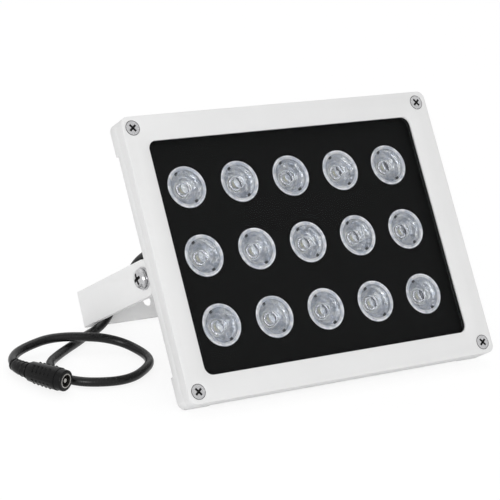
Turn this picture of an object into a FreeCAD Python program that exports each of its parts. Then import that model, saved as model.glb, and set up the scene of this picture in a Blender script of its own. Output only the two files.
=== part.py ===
import FreeCAD, Part
import math
import os
import Sketcher

# Infrared illuminator: a flat cast housing with fifteen lensed emitters behind glass,
# carried between the arms of a folded U bracket, with a short lead and a DC socket.
#
# Every body is drawn in the lamp's own axes: x to the right seen from the front, y up the
# panel, z out of the panel. The front face of the frame is z = 0, so all depths are negative.
# The lamp then leans back until the lower rear lugs of its housing and the lower edge of
# the bracket's web stand on the floor, which is z = 0 of the finished part.

doc = FreeCAD.newDocument("InfraredIlluminator")

SIZES = (
    ("frame_width", 180.0, "front frame, outer width"),
    ("frame_height", 140.0, "front frame, outer height"),
    ("frame_corner", 4.0, "front frame, outer corner radius"),
    ("frame_depth", 5.5, "front frame, front face to parting line"),
    ("frame_border", 12.5, "front frame, outer edge to the window"),
    ("window_corner", 4.5, "window, corner radius"),
    ("bevel_width", 6.0, "bevel round the window, width"),
    ("bevel_depth", 1.3, "bevel round the window, drop"),
    ("bevel_corner", 10.0, "bevel round the window, outer corner radius"),
    ("lip_depth", 2.3, "front face to the seat of the glass"),
    ("glass_border", 4.0, "glass seated under the lip, each side"),
    ("glass_thickness", 2.6, "toughened glass, thickness"),
    ("fit_gap", 0.15, "clearance round the glass, gasket and plate"),
    ("gasket_thickness", 1.7, "gasket behind the glass, thickness"),
    ("flange_depth", 10.0, "front face to the rear of the flange"),
    ("lug_drop", 2.0, "corner lugs, behind the flange"),
    ("lug_length", 16.0, "corner lugs, length along each side"),
    ("shell_inset", 7.0, "rear shell at the flange, in from the frame's outer edge"),
    ("back_width", 131.0, "rear shell at the back face, width"),
    ("back_height", 54.0, "rear shell at the back face, height"),
    ("shell_depth", 39.0, "rear shell, flange to back face"),
    ("fin_height", 5.0, "cooling fins, above the back face"),
    ("fin_thickness", 2.4, "cooling fins, thickness"),
    ("fin_pitch", 12.5, "cooling fins, pitch"),
    ("tray_side", 7.0, "front chamber, in from the shell at the sides"),
    ("tray_end", 9.0, "front chamber, in from the shell above and below"),
    ("tray_depth", 10.0, "front chamber, ledge to board seat"),
    ("seat_side", 6.0, "ledge under the board, at the sides"),
    ("seat_end", 5.0, "ledge under the board, above and below"),
    ("back_side", 4.5, "rear chamber at the back wall, in from the back face at the sides"),
    ("back_end", 1.5, "rear chamber at the back wall, in from the back face above and below"),
    ("back_wall", 3.0, "rear shell, back wall thickness"),
    ("plate_thickness", 1.5, "black lens plate, thickness"),
    ("lens_side", 17.5, "outer lenses, in from the window's sides"),
    ("lens_end", 23.3, "outer lenses, in from the window's top and bottom"),
    ("lens_radius", 10.4, "lens, radius seen through the plate"),
    ("lens_rim", 1.0, "lens, hidden rim behind the plate"),
    ("lens_play", 0.2, "lens, clearance in its hole"),
    ("lens_depth", 7.2, "lens, plate to small end"),
    ("lens_foot", 4.4, "lens, radius of the small end"),
    ("lens_shoulder", 0.5, "lens, step in at its front edge"),
    ("lens_bevel", 0.7, "lens, fall of the dome to its edge"),
    ("lens_flat", 6.45, "lens, radius of the flat top"),
    ("board_thickness", 1.6, "circuit boards, thickness"),
    ("emitter_size", 6.0, "emitter, side"),
    ("emitter_height", 1.0, "emitter, height"),
    ("screw_inset", 5.75, "corner screws, in from both edges"),
    ("screw_head", 4.0, "corner screws, head radius"),
    ("screw_sink", 2.2, "corner screws, depth of the countersink"),
    ("screw_shank", 2.0, "corner screws, shank radius"),
    ("screw_length", 11.0, "corner screws, length"),
    ("thread_gap", 0.05, "clearance of a thread in its hole"),
    ("pivot_down", 3.0, "bracket pivot, below the middle"),
    ("pivot_depth", 24.0, "bracket pivot, behind the front face"),
    ("boss_radius", 8.0, "pivot bosses, radius"),
    ("boss_inset", 9.0, "pivot bosses, in from the frame's sides"),
    ("pivot_play", 0.1, "bracket arm to boss"),
    ("pivot_shank", 2.5, "pivot screws, shank radius"),
    ("pivot_bite", 9.0, "pivot screws, depth in the boss"),
    ("pivot_head", 4.9, "pivot screws, head radius"),
    ("pivot_head_height", 3.2, "pivot screws, head height"),
    ("washer_radius", 5.6, "pivot washers, radius"),
    ("washer_thickness", 1.0, "pivot washers, thickness"),
    ("strap_width", 18.0, "bracket strap, width"),
    ("strap_thickness", 3.0, "bracket strap, thickness"),
    ("arm_reach", 72.6, "pivot to the outer face of the web"),
    ("bend_radius", 2.0, "bracket bends, inner radius"),
    ("arm_hole", 2.8, "bracket arm, pivot hole radius"),
    ("web_hole", 2.9, "bracket web, fixing hole radius"),
    ("web_hole_pitch", 89.0, "bracket web, between fixing holes"),
    ("web_centre_hole", 4.1, "bracket web, centre hole radius"),
    ("bracket_tilt", 2.8, "bracket above straight back, degrees"),
    ("gland_inset", 7.0, "cable gland, in from the side and top of the rear chamber"),
    ("gland_thread", 4.5, "cable gland, thread radius"),
    ("gland_hex", 6.2, "cable gland, hexagon corner radius"),
    ("gland_hex_height", 3.6, "cable gland, hexagon height"),
    ("gland_length", 10.0, "cable gland, boss face to mouth"),
    ("gland_mouth", 3.6, "cable gland, mouth radius"),
    ("gland_boss", 7.4, "boss under the gland, radius"),
    ("nut_thickness", 3.0, "gland nut, thickness"),
    ("driver_width", 74.0, "driver board, width"),
    ("driver_height", 44.0, "driver board, height"),
    ("driver_across", 14.0, "driver board, right of centre"),
    ("post_height", 13.0, "driver posts, above the back wall"),
    ("post_radius", 3.0, "driver posts, radius"),
    ("cable_radius", 2.25, "lead, radius"),
    ("relief_start", 3.0, "DC socket, strain relief radius at the lead"),
    ("relief_end", 3.6, "DC socket, strain relief radius at the grip"),
    ("socket_length", 21.4, "DC socket, end of the relief's bend to the face"),
    ("socket_collar", 0.7, "DC socket, straight end of the relief"),
    ("socket_grip", 17.0, "DC socket, grip length"),
    ("grip_back", 4.8, "DC socket, grip radius at the relief"),
    ("grip_front", 5.5, "DC socket, grip radius at the nose"),
    ("nose_radius", 5.1, "DC socket, nose radius"),
    ("nose_round", 0.4, "DC socket, chamfer round the face"),
    ("socket_bore", 3.45, "DC socket, radius of the contact sleeve"),
    ("sleeve_wall", 0.5, "DC socket, sleeve wall"),
    ("pin_radius", 1.0, "DC socket, centre pin radius"),
    ("contact_depth", 8.5, "DC socket, depth of the mouth"),
)

sheet = doc.addObject("Spreadsheet::Sheet", "sizes")
for row, (alias, value, note) in enumerate(SIZES, 1):
    sheet.set("A%d" % row, note)
    sheet.set("B%d" % row, str(value))
    sheet.setAlias("B%d" % row, alias)
doc.recompute()

COLUMNS = 5
ROWS = 3
FIN_COUNT = 10
PARTS = {}


def size(alias):
    return float(sheet.get(alias))


def bound(text):
    """Names of sizes in a formula, written for the expression engine."""
    words = []
    word = ""
    for letter in text + " ":
        if letter.isalpha() or letter == "_":
            word += letter
            continue
        if word:
            words.append("sizes." + word if word in NAMES else word)
            word = ""
        words.append(letter)
    return "".join(words).strip()


def length_of(text):
    """A formula of sizes as a length."""
    return "(%s) * 1 mm" % bound(text)


def number(text):
    """The value of a formula made of sizes, read back from the sheet."""
    return float(sheet.evalExpression(bound(text)))


NAMES = {alias for alias, value, note in SIZES}

# widths and heights that follow the frame and the back face, as formulas
WINDOW_WIDTH = "(frame_width - 2 * frame_border)"
WINDOW_HEIGHT = "(frame_height - 2 * frame_border)"
SHELL_WIDTH = "(frame_width - 2 * shell_inset)"
SHELL_HEIGHT = "(frame_height - 2 * shell_inset)"
TRAY_WIDTH = "(%s - 2 * tray_side)" % SHELL_WIDTH
TRAY_HEIGHT = "(%s - 2 * tray_end)" % SHELL_HEIGHT
WELL_WIDTH = "(%s - 2 * seat_side)" % TRAY_WIDTH
WELL_HEIGHT = "(%s - 2 * seat_end)" % TRAY_HEIGHT
WELL_BACK_WIDTH = "(back_width - 2 * back_side)"
WELL_BACK_HEIGHT = "(back_height - 2 * back_end)"
GLASS_SEAT_WIDTH = "(%s + 2 * glass_border + 2 * fit_gap)" % WINDOW_WIDTH
GLASS_SEAT_HEIGHT = "(%s + 2 * glass_border + 2 * fit_gap)" % WINDOW_HEIGHT
LENS_PITCH_ACROSS = "((%s - 2 * lens_side) / %d)" % (WINDOW_WIDTH, COLUMNS - 1)
LENS_PITCH_UP = "((%s - 2 * lens_end) / %d)" % (WINDOW_HEIGHT, ROWS - 1)
BOSS_REACH = "(frame_width / 2 - boss_inset)"
GLAND_ACROSS = "(%s / 2 - gland_inset)" % WELL_BACK_WIDTH
GLAND_UP = "(%s / 2 - gland_inset)" % WELL_BACK_HEIGHT

# depths behind the front face, as formulas
GLASS_BACK = "(lip_depth + glass_thickness)"
LEDGE = "(lip_depth + glass_thickness + gasket_thickness)"
BOARD_SEAT = "(lip_depth + glass_thickness + gasket_thickness + tray_depth)"
LUG_BACK = "(flange_depth + lug_drop)"
SHELL_BACK = "(flange_depth + shell_depth)"
FIN_BACK = "(flange_depth + shell_depth + fin_height)"
WELL_BACK = "(flange_depth + shell_depth - back_wall)"
DRIVER_SEAT = "(flange_depth + shell_depth - back_wall - post_height)"


def new_body(label):
    body = doc.addObject("PartDesign::Body", label)
    body.Label = label
    return body


def origin_part(body, role):
    for item in body.Origin.OriginFeatures:
        if item.Role == role:
            return item
    raise ValueError(role)


def new_sketch(body, name, role="XY_Plane", level="0"):
    """A sketch on one of the body's origin planes, moved along the plane's normal."""
    sketch = body.newObject("Sketcher::SketchObject", name)
    sketch.AttachmentSupport = [(origin_part(body, role), "")]
    sketch.MapMode = "FlatFace"
    sketch.setExpression("AttachmentOffset.Base.z", length_of(level))
    return sketch


def tie(sketch, kind, first, second, formula):
    """A dimension from one point to another whose value follows a formula of sizes."""
    value = number(formula)
    index = sketch.addConstraint(Sketcher.Constraint(kind, *first, *second, value))
    sketch.setExpression("Constraints[%d]" % index, length_of(formula))
    return index


def draw_polygon(sketch, corners):
    """A closed polygon whose corners are pairs of formulas."""
    spots = [FreeCAD.Vector(number(x), number(y), 0) for x, y in corners]
    count = len(spots)
    for i in range(count):
        sketch.addGeometry(Part.LineSegment(spots[i], spots[(i + 1) % count]), False)
    for i in range(count):
        sketch.addConstraint(Sketcher.Constraint("Coincident", i, 2, (i + 1) % count, 1))
    for i, (x, y) in enumerate(corners):
        tie(sketch, "DistanceX", (-1, 1), (i, 1), x)
        tie(sketch, "DistanceY", (-1, 1), (i, 1), y)


def draw_circle(sketch, x, y, radius):
    spot = FreeCAD.Vector(number(x), number(y), 0)
    index = sketch.addGeometry(Part.Circle(spot, FreeCAD.Vector(0, 0, 1), number(radius)), False)
    tie(sketch, "DistanceX", (-1, 1), (index, 3), x)
    tie(sketch, "DistanceY", (-1, 1), (index, 3), y)
    turn = sketch.addConstraint(Sketcher.Constraint("Radius", index, number(radius)))
    sketch.setExpression("Constraints[%d]" % turn, length_of(radius))


def draw_rounded(sketch, width, height, radius):
    """A rectangle centred on the origin with four equal round corners."""
    half_w = number(width) / 2
    half_h = number(height) / 2
    r = number(radius)
    vector = FreeCAD.Vector
    up = vector(0, 0, 1)
    corners = ((1, -1, -90), (1, 1, 0), (-1, 1, 90), (-1, -1, 180))
    arcs = []
    for side_x, side_y, start in corners:
        centre = vector(side_x * (half_w - r), side_y * (half_h - r), 0)
        first = math.radians(start)
        arc = Part.ArcOfCircle(Part.Circle(centre, up, r), first, first + math.pi / 2)
        arcs.append(sketch.addGeometry(arc, False))
    lines = []
    for i in range(4):
        a = sketch.getPoint(arcs[i], 2)
        b = sketch.getPoint(arcs[(i + 1) % 4], 1)
        lines.append(sketch.addGeometry(Part.LineSegment(a, b), False))
    for i in range(4):
        sketch.addConstraint(Sketcher.Constraint("Tangent", arcs[i], 2, lines[i], 1))
        sketch.addConstraint(Sketcher.Constraint("Tangent", lines[i], 2, arcs[(i + 1) % 4], 1))
    for i in (0, 2):
        sketch.addConstraint(Sketcher.Constraint("Vertical", lines[i]))
        sketch.addConstraint(Sketcher.Constraint("Horizontal", lines[i + 1]))
    for i in (1, 2, 3):
        sketch.addConstraint(Sketcher.Constraint("Equal", arcs[0], arcs[i]))
    sketch.addConstraint(Sketcher.Constraint("Symmetric", arcs[0], 3, arcs[2], 3, -1, 1))
    turn = sketch.addConstraint(Sketcher.Constraint("Radius", arcs[0], r))
    sketch.setExpression("Constraints[%d]" % turn, length_of(radius))
    tie(sketch, "DistanceX", (lines[2], 1), (lines[0], 1), width)
    tie(sketch, "DistanceY", (lines[3], 1), (lines[1], 1), height)


def pad(body, name, sketch, length, midplane=False):
    feature = body.newObject("PartDesign::Pad", name)
    feature.Profile = sketch
    feature.Midplane = midplane
    feature.setExpression("Length", length_of(length))
    sketch.Visibility = False
    doc.recompute()
    return feature


def pocket(body, name, sketch, length, midplane=False):
    """Removes material on the side that the sketch's normal points to."""
    doc.recompute()
    before = body.Shape.Volume
    feature = body.newObject("PartDesign::Pocket", name)
    feature.Profile = sketch
    feature.Midplane = midplane
    feature.Reversed = not midplane
    feature.setExpression("Length", length_of(length))
    sketch.Visibility = False
    doc.recompute()
    if not body.Shape.Volume < before - 1e-6:
        raise ValueError("%s in %s cuts nothing" % (name, body.Label))
    return feature


def slab(body, name, shape, deep, shallow):
    """A pad between two depths behind the front face; shape draws its outline."""
    sketch = new_sketch(body, name + "_outline", level="-" + deep)
    shape(sketch)
    return pad(body, name, sketch, "%s - %s" % (deep, shallow))


def hollow(body, name, shape, deep, shallow):
    """A pocket between two depths behind the front face."""
    sketch = new_sketch(body, name + "_outline", level="-" + deep)
    shape(sketch)
    return pocket(body, name, sketch, "%s - %s" % (deep, shallow))


def loft(body, kind, name, sections):
    """A ruled loft through rounded rectangles given as (width, height, radius, depth)."""
    sketches = []
    for i, (width, height, radius, depth) in enumerate(sections):
        sketch = new_sketch(body, "%s_section%d" % (name, i), level="-" + depth)
        draw_rounded(sketch, width, height, radius)
        sketch.Visibility = False
        sketches.append(sketch)
    doc.recompute()
    before = body.Shape.Volume if body.Tip else 0.0
    feature = body.newObject("PartDesign::%sLoft" % kind, name)
    feature.Profile = sketches[0]
    feature.Sections = sketches[1:]
    feature.Ruled = True
    doc.recompute()
    change = body.Shape.Volume - before
    if (change > 0) != (kind == "Additive"):
        raise ValueError("%s in %s goes the wrong way" % (name, body.Label))
    return feature


def spin(body, name, corners, cut=False):
    """A turned form about the body's z axis; corners are (radius, height) formulas."""
    sketch = new_sketch(body, name + "_profile", role="XZ_Plane")
    draw_polygon(sketch, corners)
    kind = "Groove" if cut else "Revolution"
    doc.recompute()
    before = body.Shape.Volume if cut else 0.0
    feature = body.newObject("PartDesign::" + kind, name)
    feature.Profile = sketch
    feature.ReferenceAxis = (sketch, ["V_Axis"])
    feature.Angle = 360.0
    sketch.Visibility = False
    doc.recompute()
    if cut and not body.Shape.Volume < before - 1e-6:
        raise ValueError("%s in %s cuts nothing" % (name, body.Label))
    return feature


def primitive(body, kind, name, spot, turn=None, **sizes):
    """A PartDesign primitive at a spot given by three formulas, with sizes bound."""
    feature = body.newObject("PartDesign::" + kind, name)
    if turn is not None:
        feature.Placement = FreeCAD.Placement(FreeCAD.Vector(), turn)
    for axis, formula in zip("xyz", spot):
        feature.setExpression("Placement.Base." + axis, length_of(formula))
    for key, formula in sizes.items():
        feature.setExpression(key, length_of(formula))
    doc.recompute()
    return feature


def parallel_edges(shape, direction, spots):
    """Names of the edges along a direction that pass through given spots."""
    found = []
    for index, edge in enumerate(shape.Edges, 1):
        if len(edge.Vertexes) != 2:
            continue
        ends = [vertex.Point for vertex in edge.Vertexes]
        along = (ends[1] - ends[0]).normalize()
        if abs(abs(along.dot(direction)) - 1) > 1e-6:
            continue
        for spot in spots:
            gap = spot - ends[0]
            if (gap - direction * gap.dot(direction)).Length < 1e-3:
                found.append("Edge%d" % index)
                break
    return found


# Where the lamp stands: it leans back until the lugs and the web meet the floor.
TILT = math.radians(size("bracket_tilt"))
FOOT_A = (-size("frame_height") / 2, -number(LUG_BACK))
WEB_LOW = (-size("strap_width") / 2, -size("arm_reach"))
WEB_HIGH = (size("strap_width") / 2, -size("arm_reach"))


def on_bracket(y, z):
    """A point of the bracket's own axes in the lamp's axes, as (y, z)."""
    across = y * math.cos(TILT) - z * math.sin(TILT)
    along = y * math.sin(TILT) + z * math.cos(TILT)
    return across - size("pivot_down"), along - size("pivot_depth")


FOOT_B = on_bracket(*WEB_LOW)
LEAN = math.atan2(FOOT_B[0] - FOOT_A[0], FOOT_A[1] - FOOT_B[1])


def floor_height(y, z):
    return y * math.cos(LEAN) + z * math.sin(LEAN)


def floor_back(y, z):
    return y * math.sin(LEAN) - z * math.cos(LEAN)


FRONT_MOST = floor_back(-size("frame_height") / 2, 0.0)
REAR_MOST = floor_back(*on_bracket(*WEB_HIGH))
STAND_BACK = -(FRONT_MOST + REAR_MOST) / 2
STAND_UP = -floor_height(*FOOT_A)
X_AXIS = FreeCAD.Vector(1, 0, 0)
LAMP = FreeCAD.Placement(
    FreeCAD.Vector(0, STAND_BACK, STAND_UP),
    FreeCAD.Rotation(X_AXIS, 90 - math.degrees(LEAN)),
)


def shift(x=0.0, y=0.0, z=0.0, turn=None):
    return FreeCAD.Placement(FreeCAD.Vector(x, y, z), turn or FreeCAD.Rotation())


def keep(label, item, local=None):
    """Registers a finished sub-part and stands it with the lamp."""
    item.Label = label
    item.Placement = LAMP.multiply(local or shift())
    PARTS[label] = item
    return item


def group(label, members, local=None):
    """Several separate solids that share one node."""
    bundle = doc.addObject("Part::Compound", label)
    bundle.Links = members
    for member in members:
        member.Visibility = False
    return keep(label, bundle, local)


def lens_places():
    places = []
    for row in range(ROWS):
        for column in range(COLUMNS):
            x = (column - (COLUMNS - 1) / 2) * number(LENS_PITCH_ACROSS)
            y = ((ROWS - 1) / 2 - row) * number(LENS_PITCH_UP)
            places.append((x, y))
    return places


def screw_places():
    x = size("frame_width") / 2 - size("screw_inset")
    y = size("frame_height") / 2 - size("screw_inset")
    return ((-x, y), (x, y), (-x, -y), (x, -y))


SCREW_X = "(frame_width / 2 - screw_inset)"
SCREW_Y = "(frame_height / 2 - screw_inset)"
SCREW_SIGNS = (("-", ""), ("", ""), ("-", "-"), ("", "-"))


def signed(sign, formula):
    return "0 - " + formula if sign else formula


def make_front_frame():
    body = new_body("front_frame")
    slab(body, "rim", lambda s: draw_rounded(s, "frame_width", "frame_height", "frame_corner"),
         "frame_depth", "0")
    hollow(body, "window",
           lambda s: draw_rounded(s, WINDOW_WIDTH, WINDOW_HEIGHT, "window_corner"),
           "frame_depth", "0")
    loft(body, "Subtractive", "bevel", (
        (WINDOW_WIDTH, WINDOW_HEIGHT, "window_corner", "bevel_depth"),
        (WINDOW_WIDTH + " + 2 * bevel_width", WINDOW_HEIGHT + " + 2 * bevel_width",
         "bevel_corner", "0"),
    ))
    hollow(body, "glass_seat",
           lambda s: draw_rounded(s, GLASS_SEAT_WIDTH, GLASS_SEAT_HEIGHT, "window_corner"),
           "frame_depth", "lip_depth")
    for i, (side_x, side_y) in enumerate(SCREW_SIGNS):
        spot = (signed(side_x, SCREW_X), signed(side_y, SCREW_Y))
        primitive(body, "SubtractiveCylinder", "screw_hole%d" % i,
                  spot + ("0 - frame_depth - 1",),
                  Radius="screw_shank + thread_gap", Height="frame_depth + 2")
        primitive(body, "SubtractiveCone", "countersink%d" % i,
                  spot + ("0 - screw_sink",),
                  Radius1="screw_shank + thread_gap", Radius2="screw_head + thread_gap",
                  Height="screw_sink")
    keep("front_frame", body)


def make_rear_housing():
    body = new_body("rear_housing")
    slab(body, "flange", lambda s: draw_rounded(s, "frame_width", "frame_height", "frame_corner"),
         LUG_BACK, "frame_depth")
    relief = "lug_drop"
    sketch = new_sketch(body, "between_lugs_across", level="-" + LUG_BACK)
    draw_polygon(sketch, (
        ("0 - frame_width / 2 + lug_length", "0 - frame_height / 2 - 1"),
        ("frame_width / 2 - lug_length", "0 - frame_height / 2 - 1"),
        ("frame_width / 2 - lug_length", "frame_height / 2 + 1"),
        ("0 - frame_width / 2 + lug_length", "frame_height / 2 + 1"),
    ))
    pocket(body, "relief_across", sketch, relief)
    sketch = new_sketch(body, "between_lugs_up", level="-" + LUG_BACK)
    draw_polygon(sketch, (
        ("0 - frame_width / 2 - 1", "0 - frame_height / 2 + lug_length"),
        ("frame_width / 2 + 1", "0 - frame_height / 2 + lug_length"),
        ("frame_width / 2 + 1", "frame_height / 2 - lug_length"),
        ("0 - frame_width / 2 - 1", "frame_height / 2 - lug_length"),
    ))
    pocket(body, "relief_up", sketch, relief)
    loft(body, "Additive", "shell", (
        (SHELL_WIDTH, SHELL_HEIGHT, "frame_corner * 2", "flange_depth"),
        ("back_width", "back_height", "frame_corner * 1.5", SHELL_BACK),
    ))
    # one fin follows both slopes and the back, and is then repeated across
    first = "0 - fin_pitch * %d / 2" % (FIN_COUNT - 1)
    sketch = new_sketch(body, "fin_profile", role="YZ_Plane", level=first)
    slope = "back_height / 2 + fin_height"
    draw_polygon(sketch, (
        ("0 - %s / 2 + 0.5" % SHELL_HEIGHT, "0 - flange_depth + 1"),
        ("0 - %s / 2 + 0.5" % SHELL_HEIGHT, "0 - flange_depth"),
        ("0 - %s" % slope.replace(" + ", " - "), "0 - " + FIN_BACK),
        (slope, "0 - " + FIN_BACK),
        (SHELL_HEIGHT + " / 2 - 0.5", "0 - flange_depth"),
        (SHELL_HEIGHT + " / 2 - 0.5", "0 - flange_depth + 1"),
        ("back_height / 2 - 1", "0 - %s + 2" % SHELL_BACK),
        ("1 - back_height / 2", "0 - %s + 2" % SHELL_BACK),
    ))
    fin = pad(body, "fin", sketch, "fin_thickness", midplane=True)
    pattern = body.newObject("PartDesign::LinearPattern", "fins")
    pattern.Originals = [fin]
    pattern.Direction = (origin_part(body, "X_Axis"), [""])
    pattern.Mode = "Spacing"
    pattern.Occurrences = FIN_COUNT
    pattern.setExpression("Offset", length_of("fin_pitch"))
    body.Tip = pattern
    doc.recompute()
    # bosses that carry the bracket screws, one on each side
    sketch = new_sketch(body, "boss_outline", role="YZ_Plane")
    draw_circle(sketch, "0 - pivot_down", "0 - pivot_depth", "boss_radius")
    pad(body, "pivot_bosses", sketch, "2 * " + BOSS_REACH, midplane=True)
    primitive(body, "AdditiveCylinder", "gland_boss",
              ("0 - " + GLAND_ACROSS, GLAND_UP, "0 - " + FIN_BACK),
              Radius="gland_boss", Height="fin_height + 1")
    hollow(body, "seat",
           lambda s: draw_rounded(s, GLASS_SEAT_WIDTH, GLASS_SEAT_HEIGHT, "window_corner"),
           LEDGE, "frame_depth")
    hollow(body, "tray", lambda s: draw_rounded(s, TRAY_WIDTH, TRAY_HEIGHT, "window_corner"),
           BOARD_SEAT, LEDGE)
    loft(body, "Subtractive", "well", (
        (WELL_BACK_WIDTH, WELL_BACK_HEIGHT, "frame_corner", WELL_BACK),
        (WELL_WIDTH, WELL_HEIGHT, "frame_corner", BOARD_SEAT),
    ))
    for i, (side_x, side_y) in enumerate(SCREW_SIGNS):
        spot = (signed(side_x, SCREW_X), signed(side_y, SCREW_Y))
        primitive(body, "SubtractiveCylinder", "tapped_hole%d" % i,
                  spot + ("0 - screw_length - 0.4",),
                  Radius="screw_shank + thread_gap", Height="screw_length")
    along_x = FreeCAD.Rotation(FreeCAD.Vector(0, 1, 0), 90)
    for i, side in enumerate(("", "-")):
        start = BOSS_REACH + " - pivot_bite" if not side else "0 - %s - 1" % BOSS_REACH
        primitive(body, "SubtractiveCylinder", "pivot_hole%d" % i,
                  (start, "0 - pivot_down", "0 - pivot_depth"), turn=along_x,
                  Radius="pivot_shank + thread_gap", Height="pivot_bite + 1")
    primitive(body, "SubtractiveCylinder", "gland_hole",
              ("0 - " + GLAND_ACROSS, GLAND_UP, "0 - %s - 1" % FIN_BACK),
              Radius="gland_thread + thread_gap", Height="fin_height + back_wall + 2")
    for i, (side_x, side_y) in enumerate(SCREW_SIGNS):
        x = "driver_across %s (driver_width / 2 - 5)" % ("-" if side_x else "+")
        y = "%s (driver_height / 2 - 5)" % ("0 -" if side_y else "0 +")
        primitive(body, "AdditiveCylinder", "driver_post%d" % i,
                  (x, y, "0 - %s - 1" % WELL_BACK),
                  Radius="post_radius", Height="post_height + 1")
    keep("rear_housing", body)


def make_glass_and_gasket():
    outer_w = WINDOW_WIDTH + " + 2 * glass_border"
    outer_h = WINDOW_HEIGHT + " + 2 * glass_border"
    body = new_body("front_glass")
    slab(body, "pane", lambda s: draw_rounded(s, outer_w, outer_h, "window_corner"),
         GLASS_BACK, "lip_depth")
    keep("front_glass", body)
    body = new_body("glass_gasket")
    slab(body, "band", lambda s: draw_rounded(s, outer_w, outer_h, "window_corner"),
         LEDGE, GLASS_BACK)
    hollow(body, "opening",
           lambda s: draw_rounded(s, WINDOW_WIDTH + " + 1 + 2 * fit_gap",
                                  WINDOW_HEIGHT + " + 1 + 2 * fit_gap", "window_corner"),
           LEDGE, GLASS_BACK)
    keep("glass_gasket", body)


def make_lens_plate():
    body = new_body("lens_plate")
    slab(body, "sheet", lambda s: draw_rounded(s, WINDOW_WIDTH + " + 1", WINDOW_HEIGHT + " + 1",
                                               "window_corner"),
         LEDGE, "(%s - plate_thickness)" % LEDGE)
    sketch = new_sketch(body, "lens_hole_outline", level="-" + LEDGE)
    for row in range(ROWS):
        draw_circle(sketch, "0 - %s * %d / 2" % (LENS_PITCH_ACROSS, COLUMNS - 1),
                    "%s * %.1f" % (LENS_PITCH_UP, (ROWS - 1) / 2 - row),
                    "lens_radius + lens_play")
    hole = pocket(body, "lens_holes_first", sketch, "plate_thickness")
    pattern = body.newObject("PartDesign::LinearPattern", "lens_holes")
    pattern.Originals = [hole]
    pattern.Direction = (origin_part(body, "X_Axis"), [""])
    pattern.Mode = "Spacing"
    pattern.Occurrences = COLUMNS
    pattern.setExpression("Offset", length_of(LENS_PITCH_ACROSS))
    body.Tip = pattern
    doc.recompute()
    keep("lens_plate", body)


def make_lenses():
    """Each lens: a collimating cone behind the plate and a low dome through its hole."""
    front = "(%s + fit_gap)" % GLASS_BACK
    back = "(%s + fit_gap / 3)" % LEDGE
    for index, (x, y) in enumerate(lens_places(), 1):
        label = "lens_%02d" % index
        body = new_body(label)
        spin(body, label + "_form", (
            ("0", "0 - %s - lens_depth" % back),
            ("lens_foot", "0 - %s - lens_depth" % back),
            ("lens_radius + lens_rim", "0 - %s" % back),
            ("lens_radius", "0 - %s" % back),
            ("lens_radius - lens_shoulder", "0 - %s - lens_bevel" % front),
            ("lens_flat", "0 - %s" % front),
            ("0", "0 - %s" % front),
        ))
        keep(label, body, shift(x, y))


def make_boards():
    body = new_body("led_board")
    slab(body, "laminate",
         lambda s: draw_rounded(s, TRAY_WIDTH + " - 1", TRAY_HEIGHT + " - 1", "window_corner"),
         BOARD_SEAT, "(%s - board_thickness)" % BOARD_SEAT)
    keep("led_board", body)
    chips = []
    for index, (x, y) in enumerate(lens_places(), 1):
        chip = doc.addObject("Part::Box", "emitter_%02d" % index)
        for side in ("Length", "Width"):
            chip.setExpression(side, length_of("emitter_size"))
        chip.setExpression("Height", length_of("emitter_height"))
        low = -number(BOARD_SEAT) + size("board_thickness")
        chip.Placement = shift(x - size("emitter_size") / 2, y - size("emitter_size") / 2, low)
        chips.append(chip)
    group("led_emitters", chips)
    body = new_body("driver_board")
    board_front = "(%s - board_thickness)" % DRIVER_SEAT
    sketch = new_sketch(body, "driver_outline", level="-" + DRIVER_SEAT)
    left = "driver_across - driver_width / 2"
    right = "driver_across + driver_width / 2"
    draw_polygon(sketch, ((left, "0 - driver_height / 2"), (right, "0 - driver_height / 2"),
                          (right, "driver_height / 2"), (left, "driver_height / 2")))
    pad(body, "laminate", sketch, "board_thickness")
    parts = (("inductor", -18.0, 4.0, 6.5, 7.0), ("capacitor", 20.0, -8.0, 4.0, 10.0),
             ("second_capacitor", 20.0, 8.0, 4.0, 10.0))
    for name, x, y, radius, tall in parts:
        primitive(body, "AdditiveCylinder", name,
                  ("driver_across + %s" % x, "0 + %s" % y, "0 - %s - 0.2" % board_front),
                  Radius="0 + %s" % radius, Height="0 + %s" % (tall + 0.2))
    primitive(body, "AdditiveBox", "controller",
              ("driver_across - 4", "0 - 12", "0 - %s - 0.2" % board_front),
              Length="0 + 10", Width="0 + 8", Height="0 + 2.2")
    keep("driver_board", body)


def cross_recess(body, spread, wide, deep, top):
    """The two crossed slots of a cross-head screw, cut from a height downwards."""
    for i, turn in enumerate((0, 90)):
        length, width = (spread, wide) if i == 0 else (wide, spread)
        primitive(body, "SubtractiveBox", "recess%d" % i,
                  ("0 - (%s) / 2" % length, "0 - (%s) / 2" % width, "%s - %s" % (top, deep)),
                  Length=length, Width=width, Height="%s + 1" % deep)


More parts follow.
